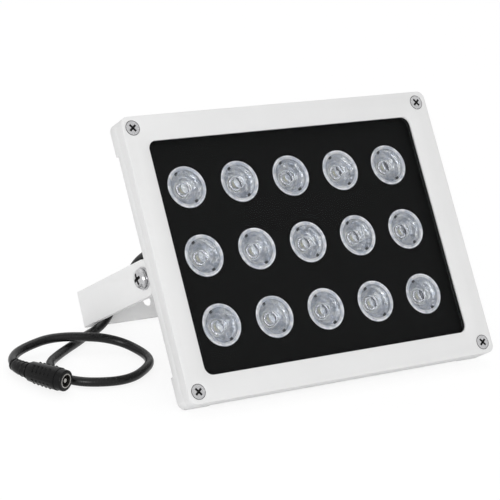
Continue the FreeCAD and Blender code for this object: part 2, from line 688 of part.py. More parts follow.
def make_screws():
    screws = []
    for index, (x, y) in enumerate(screw_places()):
        body = new_body("corner_screw_%d" % (index + 1))
        spin(body, "blank", (
            ("0", "0"), ("screw_head", "0"), ("screw_shank", "0 - screw_sink"),
            ("screw_shank", "0 - screw_length"), ("0", "0 - screw_length"),
        ))
        cross_recess(body, "screw_head * 1.15", "0.95", "1.5", "0")
        body.Placement = shift(x, y)
        screws.append(body)
    group("corner_screws", screws)
    screws = []
    washers = []
    seat = number(BOSS_REACH) + size("pivot_play") + size("strap_thickness")
    for index, side in enumerate((-1, 1)):
        outward = FreeCAD.Rotation(FreeCAD.Vector(0, 1, 0), 90 * side)
        height = size("pivot_depth")
        washer = new_body("pivot_washer_%d" % (index + 1))
        primitive(washer, "AdditiveCylinder", "disc", ("0", "0", "0"),
                  Radius="washer_radius", Height="washer_thickness")
        primitive(washer, "SubtractiveCylinder", "eye", ("0", "0", "0 - 1"),
                  Radius="pivot_shank + 2 * thread_gap", Height="washer_thickness + 2")
        washer.Placement = shift(side * seat, -size("pivot_down"), -height, outward)
        washers.append(washer)
        screw = new_body("pivot_screw_%d" % (index + 1))
        reach = "0.5 - pivot_bite - pivot_play - strap_thickness"
        spin(screw, "blank", (
            ("0", "pivot_head_height"), ("pivot_head * 0.5", "pivot_head_height - 0.15"),
            ("pivot_head * 0.85", "pivot_head_height * 0.66"), ("pivot_head", "0.8"),
            ("pivot_head", "0"), ("pivot_shank", "0"),
            ("pivot_shank", reach + " - washer_thickness"), ("0", reach + " - washer_thickness"),
        ))
        cross_recess(screw, "pivot_head * 1.15", "1.2", "1.9", "pivot_head_height")
        out = side * (seat + size("washer_thickness"))
        screw.Placement = shift(out, -size("pivot_down"), -height, outward)
        screws.append(screw)
    group("pivot_washers", washers)
    group("pivot_screws", screws)


def make_bracket():
    """One folded strap; its own origin lies on the pivot axis, its arms run along -z."""
    body = new_body("u_bracket")
    inside = "(%s + pivot_play)" % BOSS_REACH
    outside = "(%s + pivot_play + strap_thickness)" % BOSS_REACH
    end = "strap_width / 2"
    sketch = new_sketch(body, "strap_profile", role="XZ_Plane")
    draw_polygon(sketch, (
        ("0 - " + outside, end), ("0 - " + outside, "0 - arm_reach"),
        (outside, "0 - arm_reach"), (outside, end), (inside, end),
        (inside, "0 - arm_reach + strap_thickness"),
        ("0 - " + inside, "0 - arm_reach + strap_thickness"), ("0 - " + inside, end),
    ))
    pad(body, "strap", sketch, "strap_width", midplane=True)
    along_y = FreeCAD.Vector(0, 1, 0)
    reach = size("arm_reach")
    for name, x, z, radius in (
        ("inner_bends", number(inside), size("strap_thickness") - reach, "bend_radius"),
        ("outer_bends", number(outside), -reach, "bend_radius + strap_thickness"),
    ):
        base = body.Tip
        spots = [FreeCAD.Vector(side * x, 0, z) for side in (-1, 1)]
        bend = body.newObject("PartDesign::Fillet", name)
        bend.Base = (base, parallel_edges(body.Shape, along_y, spots))
        bend.setExpression("Radius", length_of(radius))
        doc.recompute()
    sketch = new_sketch(body, "arm_end_waste", role="YZ_Plane")
    r = size("strap_width") / 2
    vector = FreeCAD.Vector
    arc = Part.ArcOfCircle(Part.Circle(vector(), vector(0, 0, 1), r), 0, math.pi)
    sketch.addGeometry(arc, False)
    spots = [vector(-r, 0, 0), vector(-r - 1, 0, 0), vector(-r - 1, r + 1, 0),
             vector(r + 1, r + 1, 0), vector(r + 1, 0, 0), vector(r, 0, 0)]
    for i in range(5):
        sketch.addGeometry(Part.LineSegment(spots[i], spots[i + 1]), False)
    links = ((0, 2, 1, 1), (1, 2, 2, 1), (2, 2, 3, 1), (3, 2, 4, 1), (4, 2, 5, 1), (5, 2, 0, 1))
    for link in links:
        sketch.addConstraint(Sketcher.Constraint("Coincident", *link))
    sketch.addConstraint(Sketcher.Constraint("Coincident", 0, 3, -1, 1))
    turn = sketch.addConstraint(Sketcher.Constraint("Radius", 0, r))
    sketch.setExpression("Constraints[%d]" % turn, length_of("strap_width / 2"))
    for i in (1, 3, 5):
        sketch.addConstraint(Sketcher.Constraint("Horizontal", i))
    for i in (2, 4):
        sketch.addConstraint(Sketcher.Constraint("Vertical", i))
    sketch.addConstraint(Sketcher.Constraint("PointOnObject", 0, 1, -1))
    sketch.addConstraint(Sketcher.Constraint("PointOnObject", 0, 2, -1))
    tie(sketch, "DistanceX", (-1, 1), (3, 2), "strap_width / 2 + 1")
    tie(sketch, "DistanceX", (2, 1), (-1, 1), "strap_width / 2 + 1")
    tie(sketch, "DistanceY", (-1, 1), (3, 1), "strap_width / 2 + 1")
    pocket(body, "arm_ends", sketch, "2 * %s + 2" % outside, midplane=True)
    sketch = new_sketch(body, "pivot_hole_outline", role="YZ_Plane")
    draw_circle(sketch, "0", "0", "arm_hole")
    pocket(body, "pivot_holes", sketch, "2 * %s + 2" % outside, midplane=True)
    sketch = new_sketch(body, "web_hole_outline", level="0 - arm_reach - 1")
    draw_circle(sketch, "0 - web_hole_pitch / 2", "0", "web_hole")
    draw_circle(sketch, "web_hole_pitch / 2", "0", "web_hole")
    draw_circle(sketch, "0", "0", "web_centre_hole")
    pocket(body, "web_holes", sketch, "strap_thickness + 2")
    lean = FreeCAD.Rotation(X_AXIS, size("bracket_tilt"))
    keep("u_bracket", body, shift(0, -size("pivot_down"), -size("pivot_depth"), lean))


def make_gland():
    body = new_body("cable_gland")
    spin(body, "barrel", (
        ("0", "0 - back_wall - fin_height - nut_thickness - 1"),
        ("gland_thread", "0 - back_wall - fin_height - nut_thickness - 1"),
        ("gland_thread", "0"), ("gland_hex * 0.86", "0"),
        ("gland_hex * 0.86", "gland_length * 0.72"),
        ("gland_mouth", "gland_length"), ("0", "gland_length"),
    ))
    hexagon = body.newObject("PartDesign::AdditivePrism", "hexagon")
    hexagon.Polygon = 6
    hexagon.setExpression("Circumradius", length_of("gland_hex"))
    hexagon.setExpression("Height", length_of("gland_hex_height"))
    doc.recompute()
    back = FreeCAD.Rotation(X_AXIS, 180)
    spot = (-number(GLAND_ACROSS), number(GLAND_UP))
    keep("cable_gland", body, shift(*spot, -number(FIN_BACK), back))
    body = new_body("gland_nut")
    prism = body.newObject("PartDesign::AdditivePrism", "hexagon")
    prism.Polygon = 6
    prism.setExpression("Circumradius", length_of("gland_hex"))
    prism.setExpression("Height", length_of("nut_thickness"))
    doc.recompute()
    primitive(body, "SubtractiveCylinder", "thread", ("0", "0", "0 - 1"),
              Radius="gland_thread + thread_gap", Height="nut_thickness + 2")
    keep("gland_nut", body, shift(*spot, -number(WELL_BACK)))


# The lead's route on the floor and through the bracket, chosen as the photograph shows it.
# Each point is (x, y, z) in the finished part's axes, before the stand is centred in y.
ROUTE = (
    (-55.5, 72.5, 32.2),
    (-57.0, 74.6, 25.3),
    (-61.6, 75.2, 19.0),
    (-67.2, 72.2, 12.2),
    (-73.1, 67.3, 6.0),
    (-81.1, 63.4, 2.7),
    (-89.7, 59.2, 2.4),
    (-97.5, 53.4, 2.4),
    (-106.3, 47.7, 2.4),
    (-114.7, 41.8, 2.4),
    (-122.4, 35.3, 2.5),
    (-126.0, 26.1, 2.4),
    (-124.7, 17.0, 2.4),
    (-119.1, 10.0, 2.5),
    (-110.5, 6.2, 2.5),
    (-100.9, 4.6, 2.4),
    (-91.8, 6.4, 2.4),
    (-83.7, 11.5, 2.5),
    (-76.8, 17.7, 2.4),
    (-73.5, 25.6, 2.4),
    (-74.4, 34.3, 2.8),
    (-79.0, 41.3, 4.5),
    (-87.3, 45.5, 6.4),
    (-96.6, 47.9, 7.4),
    (-105.6, 50.9, 7.5),
    (-114.7, 53.0, 6.8),
    (-123.3, 51.8, 5.7),
    (-131.7, 49.5, 4.4),
    (-137.6, 44.2, 4.0),
    (-140.4, 37.9, 4.0),
)
SOCKET_BACK = (-137.83, 25.12, 4.81)
SOCKET_FRONT = (-129.48, 5.45, 6.47)
SOCKET_LEAD_IN = 6.6


def route_points():
    start = LAMP.multVec(FreeCAD.Vector(
        -number(GLAND_ACROSS), number(GLAND_UP), -number(FIN_BACK) - size("gland_length")))
    away = LAMP.Rotation.multVec(FreeCAD.Vector(0, 0, -1))
    points = [start, start + away * 5.5]
    for x, y, z in ROUTE:
        points.append(FreeCAD.Vector(x, y + STAND_BACK, max(z, size("cable_radius"))))
    back, ahead = socket_ends()
    along = (ahead - back).normalize()
    points.append(back - along * SOCKET_LEAD_IN)
    points.append(back)
    return points


def socket_ends():
    back = FreeCAD.Vector(*SOCKET_BACK) + FreeCAD.Vector(0, STAND_BACK, 0)
    ahead = FreeCAD.Vector(*SOCKET_FRONT) + FreeCAD.Vector(0, STAND_BACK, 0)
    return back, ahead


def rounded_route(points, radius):
    """Straight runs joined by tangent arcs, and the radii of the arcs."""
    edges = []
    radii = []
    here = points[0]
    for before, corner, after in zip(points, points[1:], points[2:]):
        back = before - corner
        ahead = after - corner
        half_turn = (math.pi - back.getAngle(ahead)) / 2
        reach = 0.45 * min(back.Length, ahead.Length)
        radii.append(reach / math.tan(half_turn))
        back.normalize()
        ahead.normalize()
        first = corner + back * reach
        last = corner + ahead * reach
        inward = back + ahead
        inward.normalize()
        sagitta = radii[-1] / math.cos(half_turn) - radii[-1]
        edges.append(Part.LineSegment(here, first).toShape())
        edges.append(Part.Arc(first, corner + inward * sagitta, last).toShape())
        here = last
    edges.append(Part.LineSegment(here, points[-1]).toShape())
    return edges, radii


def swept(path, rings):
    """A solid along the path through round sections given as (radius, place, heading)."""
    sections = [Part.Wire([Part.makeCircle(*ring)]) for ring in rings]
    tube = path.makePipeShell(sections, True, False)
    if tube.ShapeType != "Solid":
        tube = tube.Solids[0]
    if tube.Volume < 0:
        tube.reverse()
    return tube


def make_lead():
    """The lead as far as its strain relief, and the relief that bends with it."""
    points = route_points()
    edges, radii = rounded_route(points, size("cable_radius"))
    path = Part.Wire(edges[:-3])
    radius = size("cable_radius")
    tube = swept(path, [(radius, points[0], points[1] - points[0])])
    expected = math.pi * radius ** 2 * path.Length
    whole = Part.Wire(edges)
    print("lead length %.1f mm to the relief, %.1f mm to the grip, radii %s" % (
        path.Length, whole.Length, " ".join("%.1f" % r for r in radii)))
    print("lead volume over section times length %.4f" % (tube.Volume / expected))
    lead = doc.addObject("Part::Feature", "power_cable")
    lead.Shape = tube
    lead.Label = "power_cable"
    PARTS["power_cable"] = lead
    bend = Part.Wire(edges[-3:])
    start = edges[-3].Vertexes[0].Point
    relief = doc.addObject("Part::Feature", "socket_relief")
    relief.Shape = swept(bend, [
        (size("relief_start"), start, points[-2] - points[-3]),
        (size("relief_end"), points[-1], points[-1] - points[-2])])
    print("relief length %.1f mm, volume %.1f" % (bend.Length, relief.Shape.Volume))
    return relief


def make_socket(relief):
    """Moulded socket: the lead's bent relief, tapered grip, round nose with contacts."""
    back, ahead = socket_ends()
    turn = FreeCAD.Rotation(FreeCAD.Vector(0, 0, 1), ahead - back)
    stand = FreeCAD.Placement(back, turn)
    body = new_body("socket_body")
    grip_end = "(socket_collar + socket_grip)"
    spin(body, "core", (
        ("0", "0"), ("relief_end", "0"), ("relief_end", "socket_collar"),
        ("grip_back", "socket_collar"), ("grip_front", grip_end), ("nose_radius", grip_end),
        ("nose_radius", "socket_length - nose_round"),
        ("nose_radius - nose_round", "socket_length"), ("0", "socket_length"),
    ))
    primitive(body, "SubtractiveCylinder", "mouth",
              ("0", "0", "socket_length - contact_depth"),
              Radius="socket_bore", Height="contact_depth + 1")
    body.Placement = stand
    doc.recompute()
    socket = doc.addObject("Part::MultiFuse", "dc_socket")
    socket.Shapes = [body, relief]
    socket.Label = "dc_socket"
    doc.recompute()
    if len(socket.Shape.Solids) != 1:
        raise ValueError("the socket and its relief did not join")
    PARTS["dc_socket"] = socket
    body = new_body("dc_sleeve")
    primitive(body, "AdditiveCylinder", "tube", ("0", "0", "socket_length - contact_depth"),
              Radius="socket_bore", Height="contact_depth")
    primitive(body, "SubtractiveCylinder", "tube_bore",
              ("0", "0", "socket_length - contact_depth + sleeve_wall"),
              Radius="socket_bore - sleeve_wall", Height="contact_depth + 1")
    body.Placement = stand
    PARTS["dc_sleeve"] = body
    body = new_body("dc_pin")
    primitive(body, "AdditiveCylinder", "pin",
              ("0", "0", "socket_length - contact_depth + sleeve_wall"),
              Radius="pin_radius", Height="contact_depth - sleeve_wall - 0.6")
    body.Placement = stand
    PARTS["dc_pin"] = body


def check_and_write():
    doc.recompute()
    for item in doc.Objects:
        bad = [word for word in item.State if word in ("Invalid", "Error")]
        if bad:
            raise ValueError("%s: %s" % (item.Label, bad))
    os.makedirs("parts", exist_ok=True)
    for label, item in PARTS.items():
        shape = item.Shape
        if shape.isNull() or not shape.isValid():
            raise ValueError("%s has no valid shape" % label)
        box = shape.BoundBox
        print("%-16s solids %d volume %.1f z %.2f..%.2f" % (
            label, len(shape.Solids), shape.Volume, box.ZMin, box.ZMax))
        shape.exportStep("parts/%s.step" % label)


make_front_frame()
make_rear_housing()
make_glass_and_gasket()
make_lens_plate()
make_lenses()
make_boards()
make_screws()
make_bracket()
make_gland()
make_socket(make_lead())
check_and_write()
print("lean %.3f degrees, stand %.3f back, %.3f up" % (math.degrees(LEAN), STAND_BACK, STAND_UP))
axis = LAMP.multVec(FreeCAD.Vector(0, -size("pivot_down"), -size("pivot_depth")))
print("pivot axis at y %.4f z %.4f" % (axis.y, axis.z))
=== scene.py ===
"""Infrared illuminator on its U bracket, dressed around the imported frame.

Forms are drawn in millimetres in the lamp's own axes: x to the right seen from the front,
y up the panel, z out of the panel, with the front face of the frame at z = 0. What a user
would change and the stage are in metres.
"""

import math

import bmesh
import bpy
from mathutils import Matrix, Vector


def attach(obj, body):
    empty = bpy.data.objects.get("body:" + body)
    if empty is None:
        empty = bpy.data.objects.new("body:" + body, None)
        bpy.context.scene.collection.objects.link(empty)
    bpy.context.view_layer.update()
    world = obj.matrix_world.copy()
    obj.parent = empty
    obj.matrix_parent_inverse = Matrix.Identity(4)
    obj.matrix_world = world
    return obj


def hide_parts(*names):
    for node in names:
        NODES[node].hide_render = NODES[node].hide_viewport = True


bl_info = {
    "name": "Infrared illuminator",
    "version": (1, 0, 0),
    "blender": (4, 5, 0),
    "location": "View3D > Sidebar > Illuminator",
    "description": "Builds the lamp, its bracket, its lead and a plain stage",
    "category": "Add Mesh",
}

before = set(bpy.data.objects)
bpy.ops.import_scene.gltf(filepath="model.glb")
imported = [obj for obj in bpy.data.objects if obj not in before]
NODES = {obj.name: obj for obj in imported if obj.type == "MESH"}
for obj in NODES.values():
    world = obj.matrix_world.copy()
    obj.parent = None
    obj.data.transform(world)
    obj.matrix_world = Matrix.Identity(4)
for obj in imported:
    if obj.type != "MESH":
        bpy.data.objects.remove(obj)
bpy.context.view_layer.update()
HEAD = "lamp_head"
BRACKET = "bracket"

# The lamp's axes in the row's: it leans back, and its front face's middle is here.
MM = 0.001
LEAN = math.radians(35.927)
STAND_BACK = -21.160
STAND_UP = 63.724
LAMP = (Matrix.Translation((0.0, STAND_BACK * MM, STAND_UP * MM))
        @ Matrix.Rotation(math.pi / 2 - LEAN, 4, "X") @ Matrix.Scale(MM, 4))

# The lead's route in the row's millimetres, from the gland's mouth to the socket's relief.
LEAD_ROUTE = (
    (-54.00, 41.52, 41.15),
    (-54.00, 45.97, 37.93),
    (-55.50, 51.34, 32.20),
    (-57.00, 53.44, 25.30),
    (-61.60, 54.04, 19.00),
    (-67.20, 51.04, 12.20),
    (-73.10, 46.14, 6.00),
    (-81.10, 42.24, 2.70),
    (-89.70, 38.04, 2.40),
    (-97.50, 32.24, 2.40),
    (-106.30, 26.54, 2.40),
    (-114.70, 20.64, 2.40),
    (-122.40, 14.14, 2.50),
    (-126.00, 4.94, 2.40),
    (-124.70, -4.16, 2.40),
    (-119.10, -11.16, 2.50),
    (-110.50, -14.96, 2.50),
    (-100.90, -16.56, 2.40),
    (-91.80, -14.76, 2.40),
    (-83.70, -9.66, 2.50),
    (-76.80, -3.46, 2.40),
    (-73.50, 4.44, 2.40),
    (-74.40, 13.14, 2.80),
    (-79.00, 20.14, 4.50),
    (-87.30, 24.34, 6.40),
    (-96.60, 26.74, 7.40),
    (-105.60, 29.74, 7.50),
    (-114.70, 31.84, 6.80),
    (-123.30, 30.64, 5.70),
    (-131.70, 28.34, 4.40),
    (-137.60, 23.04, 4.00),
    (-140.40, 16.74, 4.00),
    (-140.40, 10.02, 4.30),
    (-137.83, 3.96, 4.81),
)
# From the gland's mouth to the socket's grip, in metres.
# The ends of the socket's grip.
SOCKET_BACK = Vector(LEAD_ROUTE[-1])
SOCKET_FRONT = Vector((-129.48, -15.71, 6.47))


def lamp_box(node):
    """Two corners of the node's box in the lamp's own axes."""
    back = LAMP.inverted()
    spots = [back @ vert.co for vert in NODES[node].data.vertices]
    low = Vector([min(spot[i] for spot in spots) for i in range(3)])
    high = Vector([max(spot[i] for spot in spots) for i in range(3)])
    return low, high


def lens_step(node):
    """How far a lens stands from the first one, in metres, to a hundredth of a millimetre."""
    first, last = (sum(lamp_box(name), Vector()) / 2 for name in ("lens_01", node))
    return round((last - first).length, 2) * MM


# What a user would change

def length(name, description, default):
    return bpy.props.FloatProperty(name=name, description=description, default=default,
                                   min=0.0, unit="LENGTH", precision=5)


def count(name, description, default):
    return bpy.props.IntProperty(name=name, description=description, default=default, min=1)


def colour(name, description, default):
    return bpy.props.FloatVectorProperty(name=name, description=description, default=default,
                                         subtype="COLOR", size=3, min=0.0, max=1.0)


def power(name, description, default):
    return bpy.props.FloatProperty(name=name, description=description, default=default,
                                   min=0.0, unit="POWER")


class IlluminatorSizes(bpy.types.PropertyGroup):
    casting_edge: length("Casting edges", "Rounding of the castings' edges", 0.00055)
    bracket_edge: length("Bracket edges", "Rounding of the sheet's edges", 0.00035)
    moulding_edge: length("Moulding edges", "Rounding of the gland's and socket's edges", 0.00022)
    lenses_across: count("Lenses across", "Lenses in a row", 5)
    lenses_up: count("Lenses up", "Rows of lenses", 3)
    pitch_across: length("Pitch across", "Distance between lenses in a row", lens_step("lens_02"))
    pitch_up: length("Pitch up", "Distance between rows of lenses", lens_step("lens_06"))
    lead_thickness: length("Lead thickness", "Outside diameter of the lead", 0.0045)
    relief_ridges: count("Relief ridges", "Ridges along the socket's strain relief", 5)
    grip_rows: count("Grip rows", "Pads along the socket's grip", 5)
    grip_round: count("Grip pads round", "Pads round the socket's grip", 4)


class IlluminatorColours(bpy.types.PropertyGroup):
    paint: colour("Paint", "Powder coat of the castings", (0.80, 0.80, 0.80))
    # the bracket's white is lighter than the castings' as painted light, lifting its web and
    # arms, which lie in shade
    bracket: colour("Bracket paint", "Powder coat of the bracket", (0.92, 0.92, 0.92))
    plate: colour("Lens plate", "Matt black of the lens plate", (0.0061, 0.0057, 0.0058))
    # the lens wall's colour is painted reflection: its bright and darker parts stand for light
    # seen in the clear lens
    wall: colour("Lens wall", "Bright parts of a lens's wall", (0.99, 1.0, 1.0))
    jacket: colour("Jacket", "Jacket of the lead", (0.0036, 0.0036, 0.0038))
    moulding: colour("Moulding", "Moulded socket and gland", (0.0032, 0.0032, 0.0034))
    steel: colour("Screws", "Stainless steel of the screws", (0.55, 0.55, 0.56))
    contact: colour("Contacts", "Nickel of the socket's contacts", (0.40, 0.39, 0.37))


class IlluminatorLights(bpy.types.PropertyGroup):
    key: power("Key lamp", "Large lamp ahead and above", 1.0)
    side: power("Side lamp", "Lamp at the left", 0.5)
    top: power("Top lamp", "Lamp above and behind", 6.0)
    front: power("Front lamp", "Small lamp near the camera", 3.6)


def sizes():
    return bpy.context.scene.illuminator_sizes


def colours():
    return bpy.context.scene.illuminator_colours


def lights():
    return bpy.context.scene.illuminator_lights


# Mesh helpers

# Points of a solid's mesh nearer than this, in metres, are one point.
SOLID_WELD = 2e-6
# Neighbouring faces that turn by less than this are one flat face.
FLAT_ANGLE = math.radians(0.6)
# Edges that turn by more than this are rounded.
SHARP_ANGLE = math.radians(28.0)


def new_object(name, data):
    piece = bpy.data.objects.new(name, data)
    bpy.context.scene.collection.objects.link(piece)
    return piece


def finish_mesh(name, shape, place=None, recalc=True):
    """A bmesh as an object at the origin, its place in its mesh."""
    if recalc:
        bmesh.ops.recalc_face_normals(shape, faces=shape.faces[:])
    if place is not None:
        shape.transform(place)
    mesh = bpy.data.meshes.new(name)
    shape.to_mesh(mesh)
    shape.free()
    return new_object(name, mesh)


def evaluate(piece):
    """Applies the piece's modifiers and leaves a plain mesh."""
    graph = bpy.context.evaluated_depsgraph_get()
    graph.update()
    mesh = bpy.data.meshes.new_from_object(piece.evaluated_get(graph),
                                           preserve_all_data_layers=True, depsgraph=graph)
    piece.modifiers.clear()
    old = piece.data
    piece.data = mesh
    mesh.name = piece.name
    if old.users == 0:
        bpy.data.meshes.remove(old)
    return piece


def smooth_by_angle(piece, degrees):
    """Smooth faces, with edges sharper than the angle kept sharp."""
    shape = bmesh.new()
    shape.from_mesh(piece.data)
    limit = math.radians(degrees)
    for face in shape.faces:
        face.smooth = True
    for edge in shape.edges:
        edge.smooth = len(edge.link_faces) == 2 and edge.calc_face_angle(0.0) < limit
    shape.to_mesh(piece.data)
    shape.free()


def set_material(piece, material):
    piece.data.materials.clear()
    piece.data.materials.append(material)


def place_piece(piece, body, material, replaced):
    """No material leaves the piece its own."""
    if material is not None:
        set_material(piece, material)
    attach(piece, body)
    for node in replaced:
        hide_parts(node)


def dressed_copy(node, name, width, segments=2):
    """The node's solid as a clean mesh with its sharp edges rounded."""
    shape = bmesh.new()
    shape.from_mesh(NODES[node].data)
    bmesh.ops.remove_doubles(shape, verts=shape.verts[:], dist=SOLID_WELD)
    bmesh.ops.dissolve_limit(shape, angle_limit=FLAT_ANGLE, verts=shape.verts[:],
                             edges=shape.edges[:])
    piece = finish_mesh(name, shape, recalc=False)
    bevel = piece.modifiers.new("edges", "BEVEL")
    bevel.width = width
    bevel.segments = segments
    bevel.limit_method = "ANGLE"
    bevel.angle_limit = SHARP_ANGLE
    bevel.miter_outer = "MITER_ARC"
    evaluate(piece)
    smooth_by_angle(piece, degrees=35.0)
    return piece


def lathe(shape, profile, facets):
    """Turns (radius, height) points round the z axis. Radius 0 closes the surface."""
    rings = []
    for radius, height in profile:
        if radius == 0.0:
            rings.append([shape.verts.new((0.0, 0.0, height))])
            continue
        rings.append([shape.verts.new((radius * math.cos(2 * math.pi * i / facets),
                                       radius * math.sin(2 * math.pi * i / facets), height))
                      for i in range(facets)])
    for low, high in zip(rings, rings[1:]):
        for i in range(facets):
            j = (i + 1) % facets
            corners = [low[i % len(low)], low[j % len(low)],
                       high[j % len(high)], high[i % len(high)]]
            face = []
            for vert in corners:
                if vert not in face:
                    face.append(vert)
            if len(face) > 2:
                shape.faces.new(face)


def weld(shape):
    """Closes a turned ring or a shape made of touching halves, drawn in millimetres."""
    bmesh.ops.remove_doubles(shape, verts=shape.verts[:], dist=1e-4)


def join(pieces, name):
    """Several meshes with the same materials as one."""
    shape = bmesh.new()
    for piece in pieces:
        shape.from_mesh(piece.data)
    materials = list(pieces[0].data.materials)
    for piece in pieces:
        bpy.data.objects.remove(piece)
    whole = finish_mesh(name, shape, recalc=False)
    for material in materials:
        whole.data.materials.append(material)
    return whole


def cut_away(piece, cutter):
    """Cuts the cutter out of the piece, which takes over the cutter's material there."""
    modifier = piece.modifiers.new("cut", "BOOLEAN")
    modifier.operation = "DIFFERENCE"
    modifier.solver = "EXACT"
    modifier.material_mode = "TRANSFER"
    modifier.object = cutter
    evaluate(piece)
    bpy.data.objects.remove(cutter)


# Materials

def put(tree, socket, value):
    """Links a socket to another one, or gives it a constant."""
    if hasattr(value, "is_linked"):
        tree.links.new(value, socket)
    else:
        socket.default_value = value


def shade(tone, share):
    """A colour made darker or lighter."""
    return tuple(part * share for part in tone)


class Nodes:
    """A small helper to write a material's node tree on object coordinates."""

    def __init__(self, name):
        self.material = bpy.data.materials.new(name)
        self.material.use_nodes = True
        self.tree = self.material.node_tree
        self.shader = self.tree.nodes["Principled BSDF"]
        self.place = self.tree.nodes.new("ShaderNodeTexCoord").outputs["Object"]

    def set(self, **values):
        for name, value in values.items():
            self.shader.inputs[name.replace("_", " ")].default_value = value
        return self

    def node(self, kind, **inputs):
        made = self.tree.nodes.new(kind)
        for name, value in inputs.items():
            put(self.tree, made.inputs[name.replace("_", " ")], value)
        return made

    def noise(self, scale, detail=3.0, roughness=0.5):
        return self.node("ShaderNodeTexNoise", Vector=self.place, Scale=scale, Detail=detail,
                         Roughness=roughness).outputs["Fac"]

    def ramp(self, source, low, high, first, last):
        return self.node("ShaderNodeMapRange", Value=source, From_Min=low, From_Max=high,
                         To_Min=first, To_Max=last).outputs["Result"]

    def mix(self, factor, first, last):
        made = self.tree.nodes.new("ShaderNodeMix")
        made.data_type = "RGBA"
        put(self.tree, made.inputs["Factor"], factor)
        for socket, value in ((made.inputs["A"], first), (made.inputs["B"], last)):
            put(self.tree, socket, value + (1.0,) if isinstance(value, tuple) else value)
        return made.outputs["Result"]

    def color(self, source, low, high, first, last):
        """The base colour, from the first colour to the last as the source goes up."""
        blend = self.mix(self.ramp(source, low, high, 0.0, 1.0), first, last)
        put(self.tree, self.shader.inputs["Base Color"], blend)

    def rough(self, source, low, high):
        """The roughness, from low to high as the source goes up."""
        put(self.tree, self.shader.inputs["Roughness"], self.ramp(source, 0.3, 0.7, low, high))

    def bump(self, source, strength, distance, below=None):
        made = self.node("ShaderNodeBump", Height=source, Strength=strength, Distance=distance)
        if below is not None:
            put(self.tree, made.inputs["Normal"], below)
        put(self.tree, self.shader.inputs["Normal"], made.outputs["Normal"])
        return made.outputs["Normal"]


MATERIALS = {}


def white_paint(name, tone):
    """Powder coat on a casting: even white, a fine orange peel and faint unevenness."""
    made = Nodes(name).set(Roughness=0.42, Specular_IOR_Level=0.42)
    made.color(made.noise(38.0, 4.0), 0.35, 0.65, shade(tone, 0.975), tone)
    made.rough(made.noise(600.0, 2.0), 0.38, 0.5)
    fine = made.bump(made.noise(1500.0, 2.0), 0.10, 0.00012)
    made.bump(made.noise(90.0, 2.0), 0.05, 0.0012, below=fine)
    return made.material


def black_panel(tone):
    made = Nodes("black_lens_plate").set(Roughness=0.6, Specular_IOR_Level=0.04)
    made.color(made.noise(900.0, 2.0), 0.3, 0.7, shade(tone, 0.72), tone)
    made.bump(made.noise(4200.0, 2.0), 0.015, 0.00004)
    return made.material


def window_glass():
    """Clear glass without a reflection, which would only speck the black behind it."""
    made = Nodes("toughened_glass").set(Roughness=0.03, IOR=1.46, Alpha=0.035)
    made.set(Specular_IOR_Level=0.0, Base_Color=(0.05, 0.06, 0.06, 1.0))
    return made.material


def clear_lens():
    made = Nodes("clear_lens").set(Roughness=0.02, IOR=1.49, Transmission_Weight=1.0)
    made.set(Base_Color=(0.985, 0.992, 1.0, 1.0))
    made.bump(made.noise(330.0, 2.0), 0.12, 0.0004)
    return made.material


def lens_wall(tone):
    """The flared wall of a lens, its colour bright and blotchy: painted reflections standing for
    the light seen in the clear lens's wall.
    """
    made = Nodes("lens_wall").set(Metallic=0.62, Roughness=0.16)
    reflection_streaks = made.ramp(made.noise(420.0, 4.0, 0.62), 0.38, 0.62, 0.0, 1.0)
    reflection_patches = made.ramp(made.noise(230.0, 2.0), 0.52, 0.62, 0.0, 0.5)
    painted_reflections = made.mix(reflection_patches, made.mix(reflection_streaks, (0.74, 0.79, 0.89), tone), (0.30, 0.34, 0.41))
    # painted reflections: bright streaks and darker blue-grey patches in the base colour
    put(made.tree, made.shader.inputs["Base Color"], painted_reflections)
    made.bump(made.noise(520.0, 4.0, 0.6), 0.8, 0.0008)
    return made.material


def lens_frost():
    """The frosted edge of a lens's face, half clear."""
    made = Nodes("lens_frost").set(Roughness=0.3, IOR=1.49, Transmission_Weight=0.6)
    made.color(made.noise(330.0), 0.42, 0.58, (0.62, 0.67, 0.76), (1.0, 1.0, 1.0))
    made.bump(made.noise(800.0), 0.25, 0.0003)
    return made.material


def lens_rim():
    """The frosted ring round each lens."""
    made = Nodes("lens_rim").set(Roughness=0.38, Specular_IOR_Level=0.6)
    made.color(made.noise(330.0), 0.40, 0.60, (0.60, 0.62, 0.68), (0.94, 0.95, 1.0))
    made.bump(made.noise(900.0), 0.2, 0.0002)
    return made.material


def dark_clip():
    made = Nodes("lens_clip").set(Roughness=0.5)
    made.color(made.noise(900.0), 0.3, 0.7, (0.010, 0.011, 0.014), (0.030, 0.033, 0.040))
    return made.material


def rubber(name, tone, rough, grain, shine=0.4):
    made = Nodes(name).set(Roughness=rough, Specular_IOR_Level=shine)
    made.color(made.noise(500.0), 0.3, 0.7, shade(tone, 0.8), shade(tone, 1.2))
    made.rough(made.noise(900.0), rough - 0.06, rough + 0.08)
    made.bump(made.noise(grain, 2.0), 0.2, 0.00005)
    return made.material


def metal(name, tone, rough):
    made = Nodes(name).set(Metallic=1.0, Roughness=rough)
    made.color(made.noise(700.0), 0.3, 0.7, shade(tone, 0.86), tone)
    made.rough(made.noise(2200.0, 2.0), rough - 0.07, rough + 0.09)
    made.bump(made.noise(5200.0, 2.0), 0.12, 0.00003)
    return made.material


def solder_mask(name, rough, scale, gap, track, ground):
    """A circuit board's coat, with its tracks showing faintly."""
    made = Nodes(name).set(Roughness=rough)
    cells = made.node("ShaderNodeTexVoronoi", Vector=made.place, Scale=scale)
    tracks = cells.outputs["Distance"]
    made.color(tracks, 0.12, gap, track, ground)
    made.bump(tracks, 0.3, 0.00005)
    return made.material


